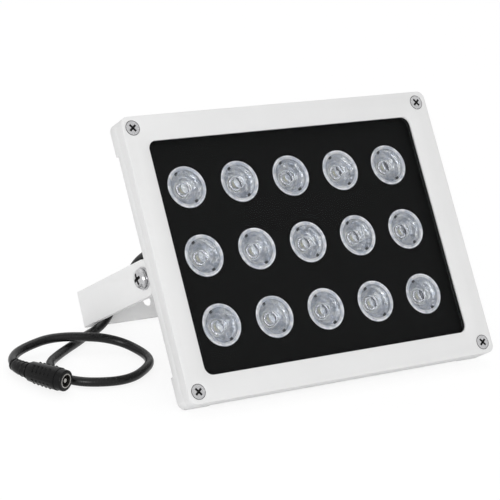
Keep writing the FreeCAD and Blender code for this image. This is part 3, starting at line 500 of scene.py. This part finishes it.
def emitter_resin():
    made = Nodes("emitter_resin").set(Roughness=0.2, Coat_Weight=0.5)
    made.color(made.noise(1300.0), 0.35, 0.65, (0.60, 0.58, 0.40), (0.74, 0.72, 0.56))
    made.bump(made.noise(2500.0), 0.1, 0.00005)
    return made.material


def ceramic():
    made = Nodes("emitter_ceramic").set(Roughness=0.45)
    made.color(made.noise(1800.0), 0.3, 0.7, (0.70, 0.70, 0.68), (0.80, 0.80, 0.79))
    return made.material


def recess_shade():
    """Painted shade: near-black steel inside a screw's cross recess and on a corner screw's head
    ring, where shade falls.
    """
    made = Nodes("recess_shade").set(Metallic=0.6, Roughness=0.55)
    made.color(made.noise(1500.0), 0.3, 0.7, (0.010, 0.010, 0.011), (0.035, 0.034, 0.033))
    return made.material


def make_materials():
    chosen = colours()
    MATERIALS.update(
        paint=white_paint("white_powder_coat", tuple(chosen.paint)),
        # the same powder coat as the castings, made lighter as painted light for the bracket's
        # shaded web and arms
        bracket_paint=white_paint("white_bracket_coat", tuple(chosen.bracket)),
        plate=black_panel(tuple(chosen.plate)),
        glass=window_glass(),
        lens=clear_lens(),
        wall=lens_wall(tuple(chosen.wall)),
        rim=lens_rim(),
        frost=lens_frost(),
        clip=dark_clip(),
        gasket=rubber("gasket_rubber", (0.022, 0.022, 0.022), 0.75, 3000.0),
        plastic=rubber("black_moulding", tuple(chosen.moulding), 0.3, 2600.0, 0.16),
        cable=rubber("cable_jacket", tuple(chosen.jacket), 0.3, 1500.0, 0.28),
        screw=metal("stainless_screw", tuple(chosen.steel), 0.24),
        # painted shade for the screws' recesses and the corner screws' head rings
        recess=recess_shade(),
        contact=metal("nickel_contact", tuple(chosen.contact), 0.3),
        board=solder_mask("board_solder_mask", 0.35, 330.0, 0.16, (0.03, 0.15, 0.06),
                          (0.012, 0.085, 0.035)),
        white_board=solder_mask("white_solder_mask", 0.4, 300.0, 0.18, (0.74, 0.75, 0.74),
                                (0.60, 0.61, 0.60)),
        emitter=emitter_resin(),
        ceramic=ceramic(),
    )


# Repeated pieces

class Tree:
    """A small helper to write a geometry node tree with named inputs."""

    def __init__(self, name, inputs):
        self.tree = bpy.data.node_groups.new(name, "GeometryNodeTree")
        sockets = self.tree.interface
        sockets.new_socket("Geometry", in_out="INPUT", socket_type="NodeSocketGeometry")
        for label, kind, value in inputs:
            made = sockets.new_socket(label, in_out="INPUT", socket_type="NodeSocket" + kind)
            if value is not None:
                made.default_value = value
        sockets.new_socket("Repaint", in_out="INPUT", socket_type="NodeSocketBool")
        sockets.new_socket("Material", in_out="INPUT", socket_type="NodeSocketMaterial")
        sockets.new_socket("Geometry", in_out="OUTPUT", socket_type="NodeSocketGeometry")
        self.given = self.tree.nodes.new("NodeGroupInput").outputs

    def add(self, kind, settings=(), **inputs):
        made = self.tree.nodes.new(kind)
        for name, value in settings:
            setattr(made, name, value)
        for name, value in inputs.items():
            put(self.tree, made.inputs[name.replace("_", " ")], value)
        return made

    def math(self, operation, first, second=0.0):
        made = self.add("ShaderNodeMath", [("operation", operation)])
        put(self.tree, made.inputs[0], first)
        put(self.tree, made.inputs[1], second)
        return made.outputs[0]

    def vector(self, x=0.0, y=0.0, z=0.0):
        return self.add("ShaderNodeCombineXYZ", X=x, Y=y, Z=z).outputs[0]

    def finish(self, geometry):
        """Realises the instances and gives them the material, where one is asked for."""
        real = self.add("GeometryNodeRealizeInstances", Geometry=geometry)
        painted = self.add("GeometryNodeSetMaterial", Geometry=real.outputs[0],
                           Selection=self.given["Repaint"], Material=self.given["Material"])
        self.add("NodeGroupOutput", Geometry=painted.outputs[0])
        return self.tree


def grid_tree():
    """Sets the piece out in rows and columns at one level."""
    made = Tree("repeat_on_grid", (("Across", "Int", 5), ("Up", "Int", 3),
                                   ("Pitch Across", "Float", 30.0), ("Pitch Up", "Float", 34.0),
                                   ("Level", "Float", 0.0)))
    given = made.given
    spans = [made.math("MULTIPLY", made.math("SUBTRACT", given[number], 1.0), given[pitch])
             for number, pitch in (("Across", "Pitch Across"), ("Up", "Pitch Up"))]
    grid = made.add("GeometryNodeMeshGrid", Size_X=spans[0], Size_Y=spans[1],
                    Vertices_X=given["Across"], Vertices_Y=given["Up"])
    lift = made.add("GeometryNodeSetPosition", Geometry=grid.outputs["Mesh"],
                    Offset=made.vector(z=given["Level"]))
    spread = made.add("GeometryNodeInstanceOnPoints", Points=lift.outputs[0],
                      Instance=given["Geometry"])
    return made.finish(spread.outputs[0])


def pair_tree():
    """Sets the piece out twice on the x axis, facing outwards left and right."""
    made = Tree("pair_on_axis", (("Reach", "Float", 80.0),))
    both = made.add("GeometryNodeJoinGeometry")
    for side in (-1, 1):
        reach = made.math("MULTIPLY", made.given["Reach"], float(side))
        turned = made.add("GeometryNodeTransform", Geometry=made.given["Geometry"],
                          Translation=made.vector(x=reach),
                          Rotation=(0.0, side * math.pi / 2, 0.0))
        put(made.tree, both.inputs[0], turned.outputs[0])
    return made.finish(both.outputs[0])


def ring_tree():
    """Sets the piece out round the z axis in rows, its top outwards."""
    made = Tree("rows_round_axis", (("Round", "Int", 4), ("Rows", "Int", 5),
                                    ("Start Angle", "Float", 0.0), ("First", "Float", 0.0),
                                    ("Pitch", "Float", 2.0), ("Radius", "Float", 4.0),
                                    ("Growth", "Float", 0.0)))
    given = made.given
    index = made.add("GeometryNodeInputIndex").outputs[0]
    column = made.math("MODULO", index, given["Round"])
    row = made.math("FLOOR", made.math("DIVIDE", index, given["Round"]))
    step = made.math("DIVIDE", math.tau, given["Round"])
    angle = made.math("ADD", given["Start Angle"], made.math("MULTIPLY", column, step))
    radius = made.math("ADD", given["Radius"], made.math("MULTIPLY", row, given["Growth"]))
    spot = made.vector(made.math("MULTIPLY", radius, made.math("COSINE", angle)),
                       made.math("MULTIPLY", radius, made.math("SINE", angle)),
                       made.math("ADD", given["First"],
                                 made.math("MULTIPLY", row, given["Pitch"])))
    line = made.add("GeometryNodeMeshLine", Offset=(0.0, 0.0, 0.0),
                    Count=made.math("MULTIPLY", given["Round"], given["Rows"]))
    placed = made.add("GeometryNodeSetPosition", Geometry=line.outputs[0], Position=spot)
    turn = made.add("FunctionNodeEulerToRotation", Euler=made.vector(0.0, math.pi / 2, angle))
    spread = made.add("GeometryNodeInstanceOnPoints", Points=placed.outputs[0],
                      Instance=given["Geometry"], Rotation=turn.outputs[0])
    return made.finish(spread.outputs[0])


def path_tree():
    """Sets an object out along a line of edges, growing towards its end."""
    made = Tree("ridges_on_path", (("Ridge", "Object", None), ("Count", "Int", 5),
                                   ("Last Scale", "Float", 1.0)))
    given = made.given
    curve = made.add("GeometryNodeMeshToCurve", Mesh=given["Geometry"])
    points = made.add("GeometryNodeCurveToPoints", [("mode", "COUNT")], Curve=curve.outputs[0],
                      Count=given["Count"])
    turn = made.add("FunctionNodeAlignRotationToVector", [("axis", "Z")],
                    Vector=points.outputs["Tangent"])
    index = made.add("GeometryNodeInputIndex").outputs[0]
    share = made.math("DIVIDE", index, made.math("SUBTRACT", given["Count"], 1.0))
    more = made.math("MULTIPLY", share, made.math("SUBTRACT", given["Last Scale"], 1.0))
    scale = made.math("ADD", 1.0, more)
    ridge = made.add("GeometryNodeObjectInfo", Object=given["Ridge"])
    spread = made.add("GeometryNodeInstanceOnPoints", Points=points.outputs["Points"],
                      Instance=ridge.outputs["Geometry"], Rotation=turn.outputs[0],
                      Scale=made.vector(scale, scale, 1.0))
    return made.finish(spread.outputs[0])


TREES = {"repeat_on_grid": grid_tree, "pair_on_axis": pair_tree, "rows_round_axis": ring_tree,
         "ridges_on_path": path_tree}


def repeat(piece, name, material=None, **values):
    """Runs a repeating tree on a piece and leaves one plain mesh."""
    tree = bpy.data.node_groups.get(name) or TREES[name]()
    modifier = piece.modifiers.new("repeat", "NODES")
    modifier.node_group = tree
    keys = {item.name: item.identifier for item in tree.interface.items_tree
            if item.item_type == "SOCKET" and item.in_out == "INPUT"}
    modifier[keys["Repaint"]] = material is not None
    modifier[keys["Material"]] = material or piece.data.materials[0]
    for label, value in values.items():
        modifier[keys[label.replace("_", " ")]] = value
    return evaluate(piece)


# The pieces

def make_lead_and_socket():
    """The lead as one smooth curve, and the moulded socket that ends it."""
    points = [Vector(place) for place in LEAD_ROUTE]
    curve = bpy.data.curves.new("power_lead", "CURVE")
    curve.dimensions = "3D"
    spline = curve.splines.new("NURBS")
    spline.points.add(len(points) - 1)
    for point, place in zip(spline.points, points):
        point.co = (place.x * MM, place.y * MM, place.z * MM, 1.0)
    spline.order_u = 3
    spline.use_endpoint_u = True
    spline.resolution_u = 10
    curve.bevel_depth = sizes().lead_thickness / 2
    curve.bevel_resolution = 6
    curve.use_fill_caps = True
    lead = new_object("power_lead", curve)
    place_piece(lead, HEAD, MATERIALS["cable"], ["power_cable"])
    for node in ("dc_sleeve", "dc_pin"):
        set_material(NODES[node], MATERIALS["contact"])
    socket = make_socket(points)


def aimed(place, direction):
    """A matrix that stands a form made about z at a place, along a direction."""
    turn = direction.to_track_quat("Z", "Y").to_matrix().to_4x4()
    return Matrix.Translation(place * MM) @ turn @ Matrix.Scale(MM, 4)


def relief_path(points):
    """The part of the strain relief's middle line that has ridges, as edges."""
    start, bend, end = points[-3:]
    first_share, last_share, steps = 0.12, 0.92, 24
    shape = bmesh.new()
    spots = []
    for i in range(steps + 1):
        share = first_share + (last_share - first_share) * i / steps
        spots.append(shape.verts.new(start * (1 - share) ** 2 + bend * 2 * share * (1 - share)
                                     + end * share ** 2))
    for first, last in zip(spots, spots[1:]):
        shape.edges.new((first, last))
    return finish_mesh("relief_ridges", shape)


def relief_ridge():
    """A half-round ridge about z, its foot sunk into the relief."""
    foot, radius, half, height = 2.40, 2.65, 0.50, 0.44
    shoulder = radius + height * 0.8
    ring = [(foot, -half), (radius, -half), (shoulder, -half / 2), (radius + height, 0.0),
            (shoulder, half / 2), (radius, half), (foot, half), (foot, -half)]
    shape = bmesh.new()
    lathe(shape, ring, facets=40)
    weld(shape)
    return finish_mesh("relief_ridge", shape)


def grip_pad():
    """A raised pad with rounded ends, its length along y and its top towards z."""
    long, wide, high = 4.2, 1.2, 0.6
    steps = 8
    outline = []
    for end in (1, -1):
        for i in range(steps + 1):
            turn = math.pi * i / steps - end * math.pi / 2
            outline.append((wide / 2 * math.sin(turn),
                            end * (long - wide) / 2 + wide / 2 * math.cos(turn)))
    # Levels from the foot to the top, each with its width as a share of the foot's.
    levels = ((0.0, 1.0), (high * 0.7, 1.0), (high, 0.86))
    shape = bmesh.new()
    rings = [[shape.verts.new((x * share, y * (1 - (1 - share) * wide / long), z))
              for x, y in outline] for z, share in levels]
    for low, top in zip(rings, rings[1:]):
        for i in range(len(outline)):
            j = (i + 1) % len(outline)
            shape.faces.new((low[i], low[j], top[j], top[i]))
    shape.faces.new(rings[-1])
    shape.faces.new(reversed(rings[0]))
    return finish_mesh("grip_pads", shape)


def make_socket(points):
    """The moulded socket: its solid with soft edges, relief ridges and grip pads."""
    body = dressed_copy("dc_socket", "dc_socket_body", sizes().moulding_edge)
    one = relief_ridge()
    ridges = repeat(relief_path(points), "ridges_on_path", MATERIALS["plastic"], Ridge=one,
                    Count=sizes().relief_ridges, Last_Scale=1.29)
    ridges.data.transform(Matrix.Scale(MM, 4))
    bpy.data.objects.remove(one)
    pads = repeat(grip_pad(), "rows_round_axis", MATERIALS["plastic"],
                  Round=sizes().grip_round, Rows=sizes().grip_rows, Start_Angle=math.pi / 4,
                  First=4.2, Pitch=2.4, Radius=4.42, Growth=0.09)
    pads.data.transform(aimed(SOCKET_BACK, SOCKET_FRONT - SOCKET_BACK))
    for piece in (ridges, pads):
        smooth_by_angle(piece, degrees=40.0)
    whole = join([body, ridges, pads], "dc_socket_moulding")
    place_piece(whole, HEAD, MATERIALS["plastic"], ["dc_socket"])
    return whole


# The lens's outline by finish, as (radius, height) points from the front's middle round the
# edge to the pocket at its small end. A finish starts after the last point before it.
LENS_FINISHES = ("lens", "wall", "rim", "clip", "frost")
LENS_SKIN = (
    ("lens", ((0.0, -0.35), (1.2, -0.45), (2.3, -0.75), (2.9, -1.15), (3.2, -1.2), (4.6, -0.95),
              (6.4, -0.62), (8.6, -0.30))),
    ("frost", ((9.1, -0.25), (9.6, -0.20))),
    ("rim", ((9.72, -0.02), (10.15, 0.0), (10.38, -0.25), (10.4, -1.5))),
    ("wall", ((11.3, -1.55), (11.3, -2.2), (10.3, -2.4), (9.5, -3.3), (8.9, -4.3), (8.3, -4.45),
              (7.6, -5.4), (6.8, -6.6), (6.2, -6.75), (5.5, -7.9), (4.8, -8.8), (4.4, -9.3))),
    ("lens", ((3.95, -9.3), (3.55, -7.4), (3.3, -6.3), (2.4, -5.8), (1.2, -5.5), (0.0, -5.4))),
)
LENS_FACETS = 56
# The two clips under the lens's face: turns round it, place, and size along the radius,
# across it and in depth.
CLIP_TURNS = (121.0, 295.0)
CLIP_PLACE = (8.1, 0.0, -0.54)
CLIP_SIZE = (1.4, 1.7, 0.5)


def lens_shape():
    """Clear collimating lens: rim, dished face, stepped flared wall and a domed pocket."""
    outline = [(finish, point) for finish, points in LENS_SKIN for point in points]
    shape = bmesh.new()
    lathe(shape, [point for finish, point in outline], LENS_FACETS)
    for i, face in enumerate(shape.faces):
        finish = outline[i // LENS_FACETS + 1][0]
        face.material_index = LENS_FINISHES.index(finish)
        face.smooth = True
    for turn in CLIP_TURNS:
        spot = Matrix.Rotation(math.radians(turn), 4, "Z") @ Matrix.Translation(CLIP_PLACE)
        made = bmesh.ops.create_cube(shape, size=1.0,
                                     matrix=spot @ Matrix.Diagonal(CLIP_SIZE).to_4x4())
        for face in {face for vert in made["verts"] for face in vert.link_faces}:
            face.material_index = LENS_FINISHES.index("clip")
    return shape


def set_out_lenses(piece):
    """Repeats a piece at every lens and stands it with the lamp."""
    repeat(piece, "repeat_on_grid", Across=sizes().lenses_across, Up=sizes().lenses_up,
           Pitch_Across=sizes().pitch_across / MM, Pitch_Up=sizes().pitch_up / MM)
    piece.data.transform(LAMP)


def make_lenses():
    top = lamp_box("lens_08")[1].z
    piece = finish_mesh("lens_array", lens_shape(), Matrix.Translation((0.0, 0.0, top)))
    for finish in LENS_FINISHES:
        piece.data.materials.append(MATERIALS[finish])
    set_out_lenses(piece)
    place_piece(piece, HEAD, None, ["lens_%02d" % i for i in range(1, 16)])


def make_emitters():
    """Ceramic base, its reflector ring and a resin dome, set out behind the lenses."""
    facets, side, base_top, dome_radius = 32, 3.0, 0.5, 1.9
    round_reach, most_growth = 2.6, 1.25
    seat = lamp_box("led_emitters")[0].z
    shape = bmesh.new()
    lathe(shape, [(0.0, 0.0), (side * 0.98, 0.0), (side, 0.05), (side, 0.42),
                  (side * 0.9, base_top), (2.35, base_top), (2.15, 0.42), (dome_radius, 0.40)],
          facets)
    # The base's outer rings are pushed out towards a square with rounded corners.
    for vert in shape.verts:
        reach = math.hypot(vert.co.x, vert.co.y)
        if reach > round_reach:
            grow = min(most_growth, reach / max(abs(vert.co.x), abs(vert.co.y)))
            vert.co.x = max(-side, min(side, vert.co.x * grow))
            vert.co.y = max(-side, min(side, vert.co.y * grow))
    base = set(shape.faces)
    lathe(shape, [(dome_radius, 0.40), (1.75, 0.62), (1.4, 0.82), (0.8, 0.95), (0.0, 0.99)],
          facets)
    for face in shape.faces:
        if face not in base:
            face.material_index = 1
            face.smooth = True
    weld(shape)
    piece = finish_mesh("emitter_array", shape, Matrix.Translation((0.0, 0.0, seat)))
    piece.data.materials.append(MATERIALS["ceramic"])
    piece.data.materials.append(MATERIALS["emitter"])
    set_out_lenses(piece)
    place_piece(piece, HEAD, None, ["led_emitters"])


def cross_cutter(reach, half_width, deep):
    """A cross-shaped tapered plug that cuts a screw's recess."""
    floor_share = 0.55
    quarter = [(reach, half_width), (half_width, half_width), (half_width, reach)]
    outline = []
    for turn in range(4):
        spin = Matrix.Rotation(turn * math.pi / 2, 2)
        outline += [spin @ Vector(corner) for corner in quarter]
    shape = bmesh.new()
    top = [shape.verts.new((p.x, p.y, deep)) for p in outline]
    rim = [shape.verts.new((p.x, p.y, 0.0)) for p in outline]
    floor = [shape.verts.new((p.x * floor_share, p.y * floor_share, -deep)) for p in outline]
    shape.faces.new(top)
    shape.faces.new(floor)
    for upper, lower in ((top, rim), (rim, floor)):
        for i in range(len(outline)):
            j = (i + 1) % len(outline)
            shape.faces.new((upper[i], upper[j], lower[j], lower[i]))
    return finish_mesh("recess", shape)


def screw_piece(name, profile, cutter, turn):
    """A turned screw with its top at z = 0, its cross recess cut and turned by an angle."""
    shape = bmesh.new()
    lathe(shape, profile, facets=48)
    body = finish_mesh(name, shape)
    set_material(body, MATERIALS["screw"])
    body.data.materials.append(MATERIALS["recess"])
    # the recess's cut faces take the near-black painted shade
    set_material(cutter, MATERIALS["recess"])
    cut_away(body, cutter)
    smooth_by_angle(body, degrees=30.0)
    body.data.transform(Matrix.Rotation(turn, 4, "Z"))
    return body


def crown(radius, rise):
    """The rounded top of a screw head, from its middle to its edge."""
    steps = 6
    turns = [i / steps * math.pi / 2 for i in range(steps + 1)]
    return [(radius * math.sin(turn), -rise * (1 - math.cos(turn))) for turn in turns]


def make_corner_screws():
    """Four countersunk screws, each with painted shade on its head's outer ring, standing for the
    shade in the seam between head and frame.
    """
    low, high = lamp_box("corner_screws")
    head_width = 8.0
    sunk = 0.12
    radius = 3.75
    crown_edge, painted_shade_foot = radius * 0.93, -0.16
    shank, shank_end, tip = 1.95, -10.4, -10.8
    profile = crown(crown_edge, rise=0.14) + [
        (radius, -0.17), (radius, -0.45), (radius * 0.96, -0.62), (2.05, -2.2), (shank, -2.4),
        (shank, shank_end), (1.6, tip), (0.0, tip)]
    recess = cross_cutter(reach=2.2, half_width=0.55, deep=1.5)
    screws = screw_piece("corner_screw_set", profile, recess, turn=math.radians(38.0))
    # painted shade: the head's outer ring takes the near-black recess material
    for face in screws.data.polygons:
        middle = face.center
        if math.hypot(middle.x, middle.y) > crown_edge and middle.z > painted_shade_foot:
            face.material_index = 1
    repeat(screws, "repeat_on_grid", Across=2, Up=2, Pitch_Across=high.x - low.x - head_width,
           Pitch_Up=high.y - low.y - head_width, Level=high.z - sunk)
    screws.data.transform(LAMP)
    place_piece(screws, HEAD, None, ["corner_screws"])


def pair_on_pivot(piece, node, sunk):
    """Repeats a piece at both pivots, its top sunk under the solid's own by a little."""
    low, high = lamp_box(node)
    repeat(piece, "pair_on_axis", Reach=high.x - sunk)
    middle = (low + high) / 2
    piece.data.transform(LAMP @ Matrix.Translation((0.0, middle.y, middle.z)))


def half_height(node):
    low, high = lamp_box(node)
    return (high.y - low.y) / 2


def make_pivot_screws():
    """Two pan head screws and their washers, on the axis that the bracket turns on."""
    radius = half_height("pivot_screws")
    seat, shank_end, tip = -3.0, -15.0, -15.5
    profile = crown(radius * 0.9, rise=1.15) + [
        (radius * 0.985, -1.7), (radius, -2.1), (radius * 0.985, seat + 0.1),
        (radius * 0.93, seat), (2.45, seat), (2.4, shank_end), (2.0, tip), (0.0, tip)]
    recess = cross_cutter(reach=3.1, half_width=0.78, deep=1.9)
    screws = screw_piece("pivot_screw_pair", profile, recess, turn=0.15)
    pair_on_pivot(screws, "pivot_screws", sunk=0.1)
    place_piece(screws, HEAD, None, ["pivot_screws"])

    radius = half_height("pivot_washers")
    bore, thick, across, along = 2.65, 0.96, 0.15, 0.12
    ring = [(bore, 0.0), (radius - across, 0.0), (radius, -along), (radius, along - thick),
            (radius - across, -thick), (bore, -thick), (bore, 0.0)]
    shape = bmesh.new()
    lathe(shape, ring, facets=56)
    weld(shape)
    washers = finish_mesh("pivot_washer_pair", shape)
    set_material(washers, MATERIALS["screw"])
    smooth_by_angle(washers, degrees=30.0)
    pair_on_pivot(washers, "pivot_washers", sunk=0.02)
    place_piece(washers, HEAD, None, ["pivot_washers"])


def make_front_frame():
    casting = dressed_copy("front_frame", "frame_casting", sizes().casting_edge, segments=3)
    place_piece(casting, HEAD, MATERIALS["paint"], ["front_frame"])


def make_rear_housing():
    casting = dressed_copy("rear_housing", "rear_casting", sizes().casting_edge)
    place_piece(casting, HEAD, MATERIALS["paint"], ["rear_housing"])


def make_bracket():
    strap = dressed_copy("u_bracket", "folded_bracket", sizes().bracket_edge)
    place_piece(strap, BRACKET, MATERIALS["bracket_paint"], ["u_bracket"])


def make_gland():
    gland = dressed_copy("cable_gland", "gland_body", sizes().moulding_edge)
    place_piece(gland, HEAD, MATERIALS["plastic"], ["cable_gland"])


def dress_nodes():
    """Solids whose shape is right as they are, with their finished materials."""
    for node, finish in (("front_glass", "glass"), ("glass_gasket", "gasket"),
                         ("lens_plate", "plate"), ("led_board", "white_board"),
                         ("driver_board", "board"), ("gland_nut", "plastic")):
        set_material(NODES[node], MATERIALS[finish])


# Stage

# The backdrop as the camera sees it, and the softer white that lights the pieces.
BACKDROP_STRENGTH = 1.0
FILL_STRENGTH = 0.66
# The floor: half its side, how far it lies under z = 0, its white, the strength of its even
# glow, and the glow's share of what the camera sees, which keeps the shadows faint.
FLOOR_REACH = 6.0
FLOOR_BELOW = 0.0002
FLOOR_WHITE = 0.9
FLOOR_GLOW = 1.06
FLOOR_GLOW_SHARE = 0.8
# Each lamp's name, power setting, place, aim, width and height.
LAMPS = (
    ("key_lamp", "key", (-0.5, -1.2, 1.5), (0.0, 0.0, 0.05), 1.2, 1.0),
    ("side_lamp", "side", (-1.6, 0.1, 0.8), (0.0, 0.0, 0.05), 1.0, 1.0),
    ("top_lamp", "top", (0.3, 0.9, 1.8), (0.0, 0.0, 0.0), 1.4, 1.2),
    ("front_lamp", "front", (-0.64, -0.80, 0.38), (-0.08, 0.03, 0.04), 0.35, 0.35),
)
# The camera's lens and sensor in millimetres, its place, and its picture's right and depth.
CAMERA_LENS = 145.24
CAMERA_SENSOR = 36.0
CAMERA_PLACE = (-0.55616, -0.76475, 0.38245)
CAMERA_RIGHT = (0.83453, -0.54343, 0.09083)
CAMERA_AHEAD = (0.53971, 0.77317, -0.33306)


def seen_directly(tree):
    """One for camera, glossy and transmission rays."""
    path = tree.nodes.new("ShaderNodeLightPath")
    total = path.outputs["Is Camera Ray"]
    for name in ("Is Glossy Ray", "Is Transmission Ray"):
        larger = tree.nodes.new("ShaderNodeMath")
        larger.operation = "MAXIMUM"
        put(tree, larger.inputs[0], total)
        put(tree, larger.inputs[1], path.outputs[name])
        total = larger.outputs[0]
    return total


def mix_shaders(tree, share, first, second):
    made = tree.nodes.new("ShaderNodeMixShader")
    for socket, value in zip(made.inputs, (share, first, second)):
        put(tree, socket, value)
    return made.outputs[0]


def white_background(tree, strength):
    made = tree.nodes.new("ShaderNodeBackground")
    made.inputs["Color"].default_value = (1.0, 1.0, 1.0, 1.0)
    made.inputs["Strength"].default_value = strength
    return made.outputs[0]


def make_world():
    world = bpy.data.worlds.new("studio")
    bpy.context.scene.world = world
    world.use_nodes = True
    tree = world.node_tree
    tree.nodes.clear()
    seen = mix_shaders(tree, seen_directly(tree), white_background(tree, FILL_STRENGTH),
                       white_background(tree, BACKDROP_STRENGTH))
    put(tree, tree.nodes.new("ShaderNodeOutputWorld").inputs[0], seen)


def make_floor():
    shape = bmesh.new()
    bmesh.ops.create_grid(shape, x_segments=1, y_segments=1, size=FLOOR_REACH)
    floor = finish_mesh("floor", shape, Matrix.Translation((0.0, 0.0, -FLOOR_BELOW)))
    made = Nodes("pale_floor").set(Roughness=0.5, Specular_IOR_Level=0.15)
    made.set(Base_Color=(FLOOR_WHITE, FLOOR_WHITE, FLOOR_WHITE, 1.0))
    lit = made.shader.outputs[0]
    glow = made.node("ShaderNodeEmission", Strength=FLOOR_GLOW).outputs[0]
    pale = mix_shaders(made.tree, FLOOR_GLOW_SHARE, lit, glow)
    seen = mix_shaders(made.tree, seen_directly(made.tree), lit, pale)
    put(made.tree, made.tree.nodes["Material Output"].inputs[0], seen)
    set_material(floor, made.material)


def area_lamp(name, watts, place, aim, width, height):
    light = bpy.data.lights.new(name, "AREA")
    light.shape = "RECTANGLE"
    light.size = width
    light.size_y = height
    light.energy = watts
    lamp = new_object(name, light)
    lamp.location = place
    lamp.rotation_euler = (Vector(aim) - Vector(place)).to_track_quat("-Z", "Y").to_euler()


def make_stage():
    make_world()
    make_floor()
    for name, setting, *placing in LAMPS:
        area_lamp(name, getattr(lights(), setting), *placing)
    bpy.context.scene.view_settings.view_transform = "Standard"


def make_camera():
    camera = bpy.data.cameras.new("camera")
    camera.lens = CAMERA_LENS
    camera.sensor_width = CAMERA_SENSOR
    camera.clip_start = 0.05
    right = Vector(CAMERA_RIGHT).normalized()
    ahead = Vector(CAMERA_AHEAD).normalized()
    turn = Matrix((right, right.cross(ahead), -ahead)).transposed()
    piece = new_object("camera", camera)
    piece.matrix_world = Matrix.Translation(CAMERA_PLACE) @ turn.to_4x4()
    bpy.context.scene.camera = piece


# Add-on layout

class ILLUMINATOR_OT_camera(bpy.types.Operator):
    """Place the camera at the picture's angle"""
    bl_idname = "illuminator.camera"
    bl_label = "Camera"

    def execute(self, context):
        make_camera()
        return {"FINISHED"}


class ILLUMINATOR_OT_finishes(bpy.types.Operator):
    """Make the finishes of every piece"""
    bl_idname = "illuminator.finishes"
    bl_label = "Finishes"

    def execute(self, context):
        make_materials()
        return {"FINISHED"}


class ILLUMINATOR_OT_lead(bpy.types.Operator):
    """Make the lead with its moulded socket"""
    bl_idname = "illuminator.lead"
    bl_label = "Lead"

    def execute(self, context):
        make_lead_and_socket()
        return {"FINISHED"}


class ILLUMINATOR_OT_front_frame(bpy.types.Operator):
    """Make the cast front frame"""
    bl_idname = "illuminator.front_frame"
    bl_label = "Front frame"

    def execute(self, context):
        make_front_frame()
        return {"FINISHED"}


class ILLUMINATOR_OT_rear_housing(bpy.types.Operator):
    """Make the cast rear housing"""
    bl_idname = "illuminator.rear_housing"
    bl_label = "Rear housing"

    def execute(self, context):
        make_rear_housing()
        return {"FINISHED"}


class ILLUMINATOR_OT_bracket(bpy.types.Operator):
    """Make the folded bracket"""
    bl_idname = "illuminator.bracket"
    bl_label = "Bracket"

    def execute(self, context):
        make_bracket()
        return {"FINISHED"}


class ILLUMINATOR_OT_lenses(bpy.types.Operator):
    """Make the fifteen lenses"""
    bl_idname = "illuminator.lenses"
    bl_label = "Lenses"

    def execute(self, context):
        make_lenses()
        return {"FINISHED"}


class ILLUMINATOR_OT_emitters(bpy.types.Operator):
    """Make the emitters behind the lenses"""
    bl_idname = "illuminator.emitters"
    bl_label = "Emitters"

    def execute(self, context):
        make_emitters()
        return {"FINISHED"}


class ILLUMINATOR_OT_corner_screws(bpy.types.Operator):
    """Make the four corner screws"""
    bl_idname = "illuminator.corner_screws"
    bl_label = "Corner screws"

    def execute(self, context):
        make_corner_screws()
        return {"FINISHED"}


class ILLUMINATOR_OT_pivot_screws(bpy.types.Operator):
    """Make the pivot screws and their washers"""
    bl_idname = "illuminator.pivot_screws"
    bl_label = "Pivot screws"

    def execute(self, context):
        make_pivot_screws()
        return {"FINISHED"}


class ILLUMINATOR_OT_gland(bpy.types.Operator):
    """Make the cable gland"""
    bl_idname = "illuminator.gland"
    bl_label = "Cable gland"

    def execute(self, context):
        make_gland()
        return {"FINISHED"}


class ILLUMINATOR_OT_inner(bpy.types.Operator):
    """Finish the glass, gasket, plate, boards and nut"""
    bl_idname = "illuminator.inner"
    bl_label = "Inner pieces"

    def execute(self, context):
        dress_nodes()
        return {"FINISHED"}


class ILLUMINATOR_OT_stage(bpy.types.Operator):
    """Make the floor, the lamps and the world"""
    bl_idname = "illuminator.stage"
    bl_label = "Stage"

    def execute(self, context):
        make_stage()
        return {"FINISHED"}


GROUPS = (IlluminatorSizes, IlluminatorColours, IlluminatorLights)
STEPS = (
    ILLUMINATOR_OT_camera,
    ILLUMINATOR_OT_finishes,
    ILLUMINATOR_OT_lead,
    ILLUMINATOR_OT_front_frame,
    ILLUMINATOR_OT_rear_housing,
    ILLUMINATOR_OT_bracket,
    ILLUMINATOR_OT_lenses,
    ILLUMINATOR_OT_emitters,
    ILLUMINATOR_OT_corner_screws,
    ILLUMINATOR_OT_pivot_screws,
    ILLUMINATOR_OT_gland,
    ILLUMINATOR_OT_inner,
    ILLUMINATOR_OT_stage,
)


class ILLUMINATOR_PT_panel(bpy.types.Panel):
    bl_label = "Illuminator"
    bl_idname = "ILLUMINATOR_PT_panel"
    bl_space_type = "VIEW_3D"
    bl_region_type = "UI"
    bl_category = "Illuminator"

    def draw(self, context):
        for title, values in (("Sizes", sizes()), ("Colours", colours()), ("Lights", lights())):
            box = self.layout.box()
            box.label(text=title)
            for name in values.__annotations__:
                box.prop(values, name)
        for item in STEPS:
            self.layout.operator(item.bl_idname)


CLASSES = GROUPS + STEPS + (ILLUMINATOR_PT_panel,)


def register():
    for item in CLASSES:
        bpy.utils.register_class(item)
    scene = bpy.types.Scene
    scene.illuminator_sizes = bpy.props.PointerProperty(type=IlluminatorSizes)
    scene.illuminator_colours = bpy.props.PointerProperty(type=IlluminatorColours)
    scene.illuminator_lights = bpy.props.PointerProperty(type=IlluminatorLights)


def unregister():
    del bpy.types.Scene.illuminator_lights
    del bpy.types.Scene.illuminator_colours
    del bpy.types.Scene.illuminator_sizes
    for item in reversed(CLASSES):
        bpy.utils.unregister_class(item)


def main():
    register()
    for item in STEPS:
        group, name = item.bl_idname.split(".")
        getattr(getattr(bpy.ops, group), name)()


if __name__ == "__main__":
    main()
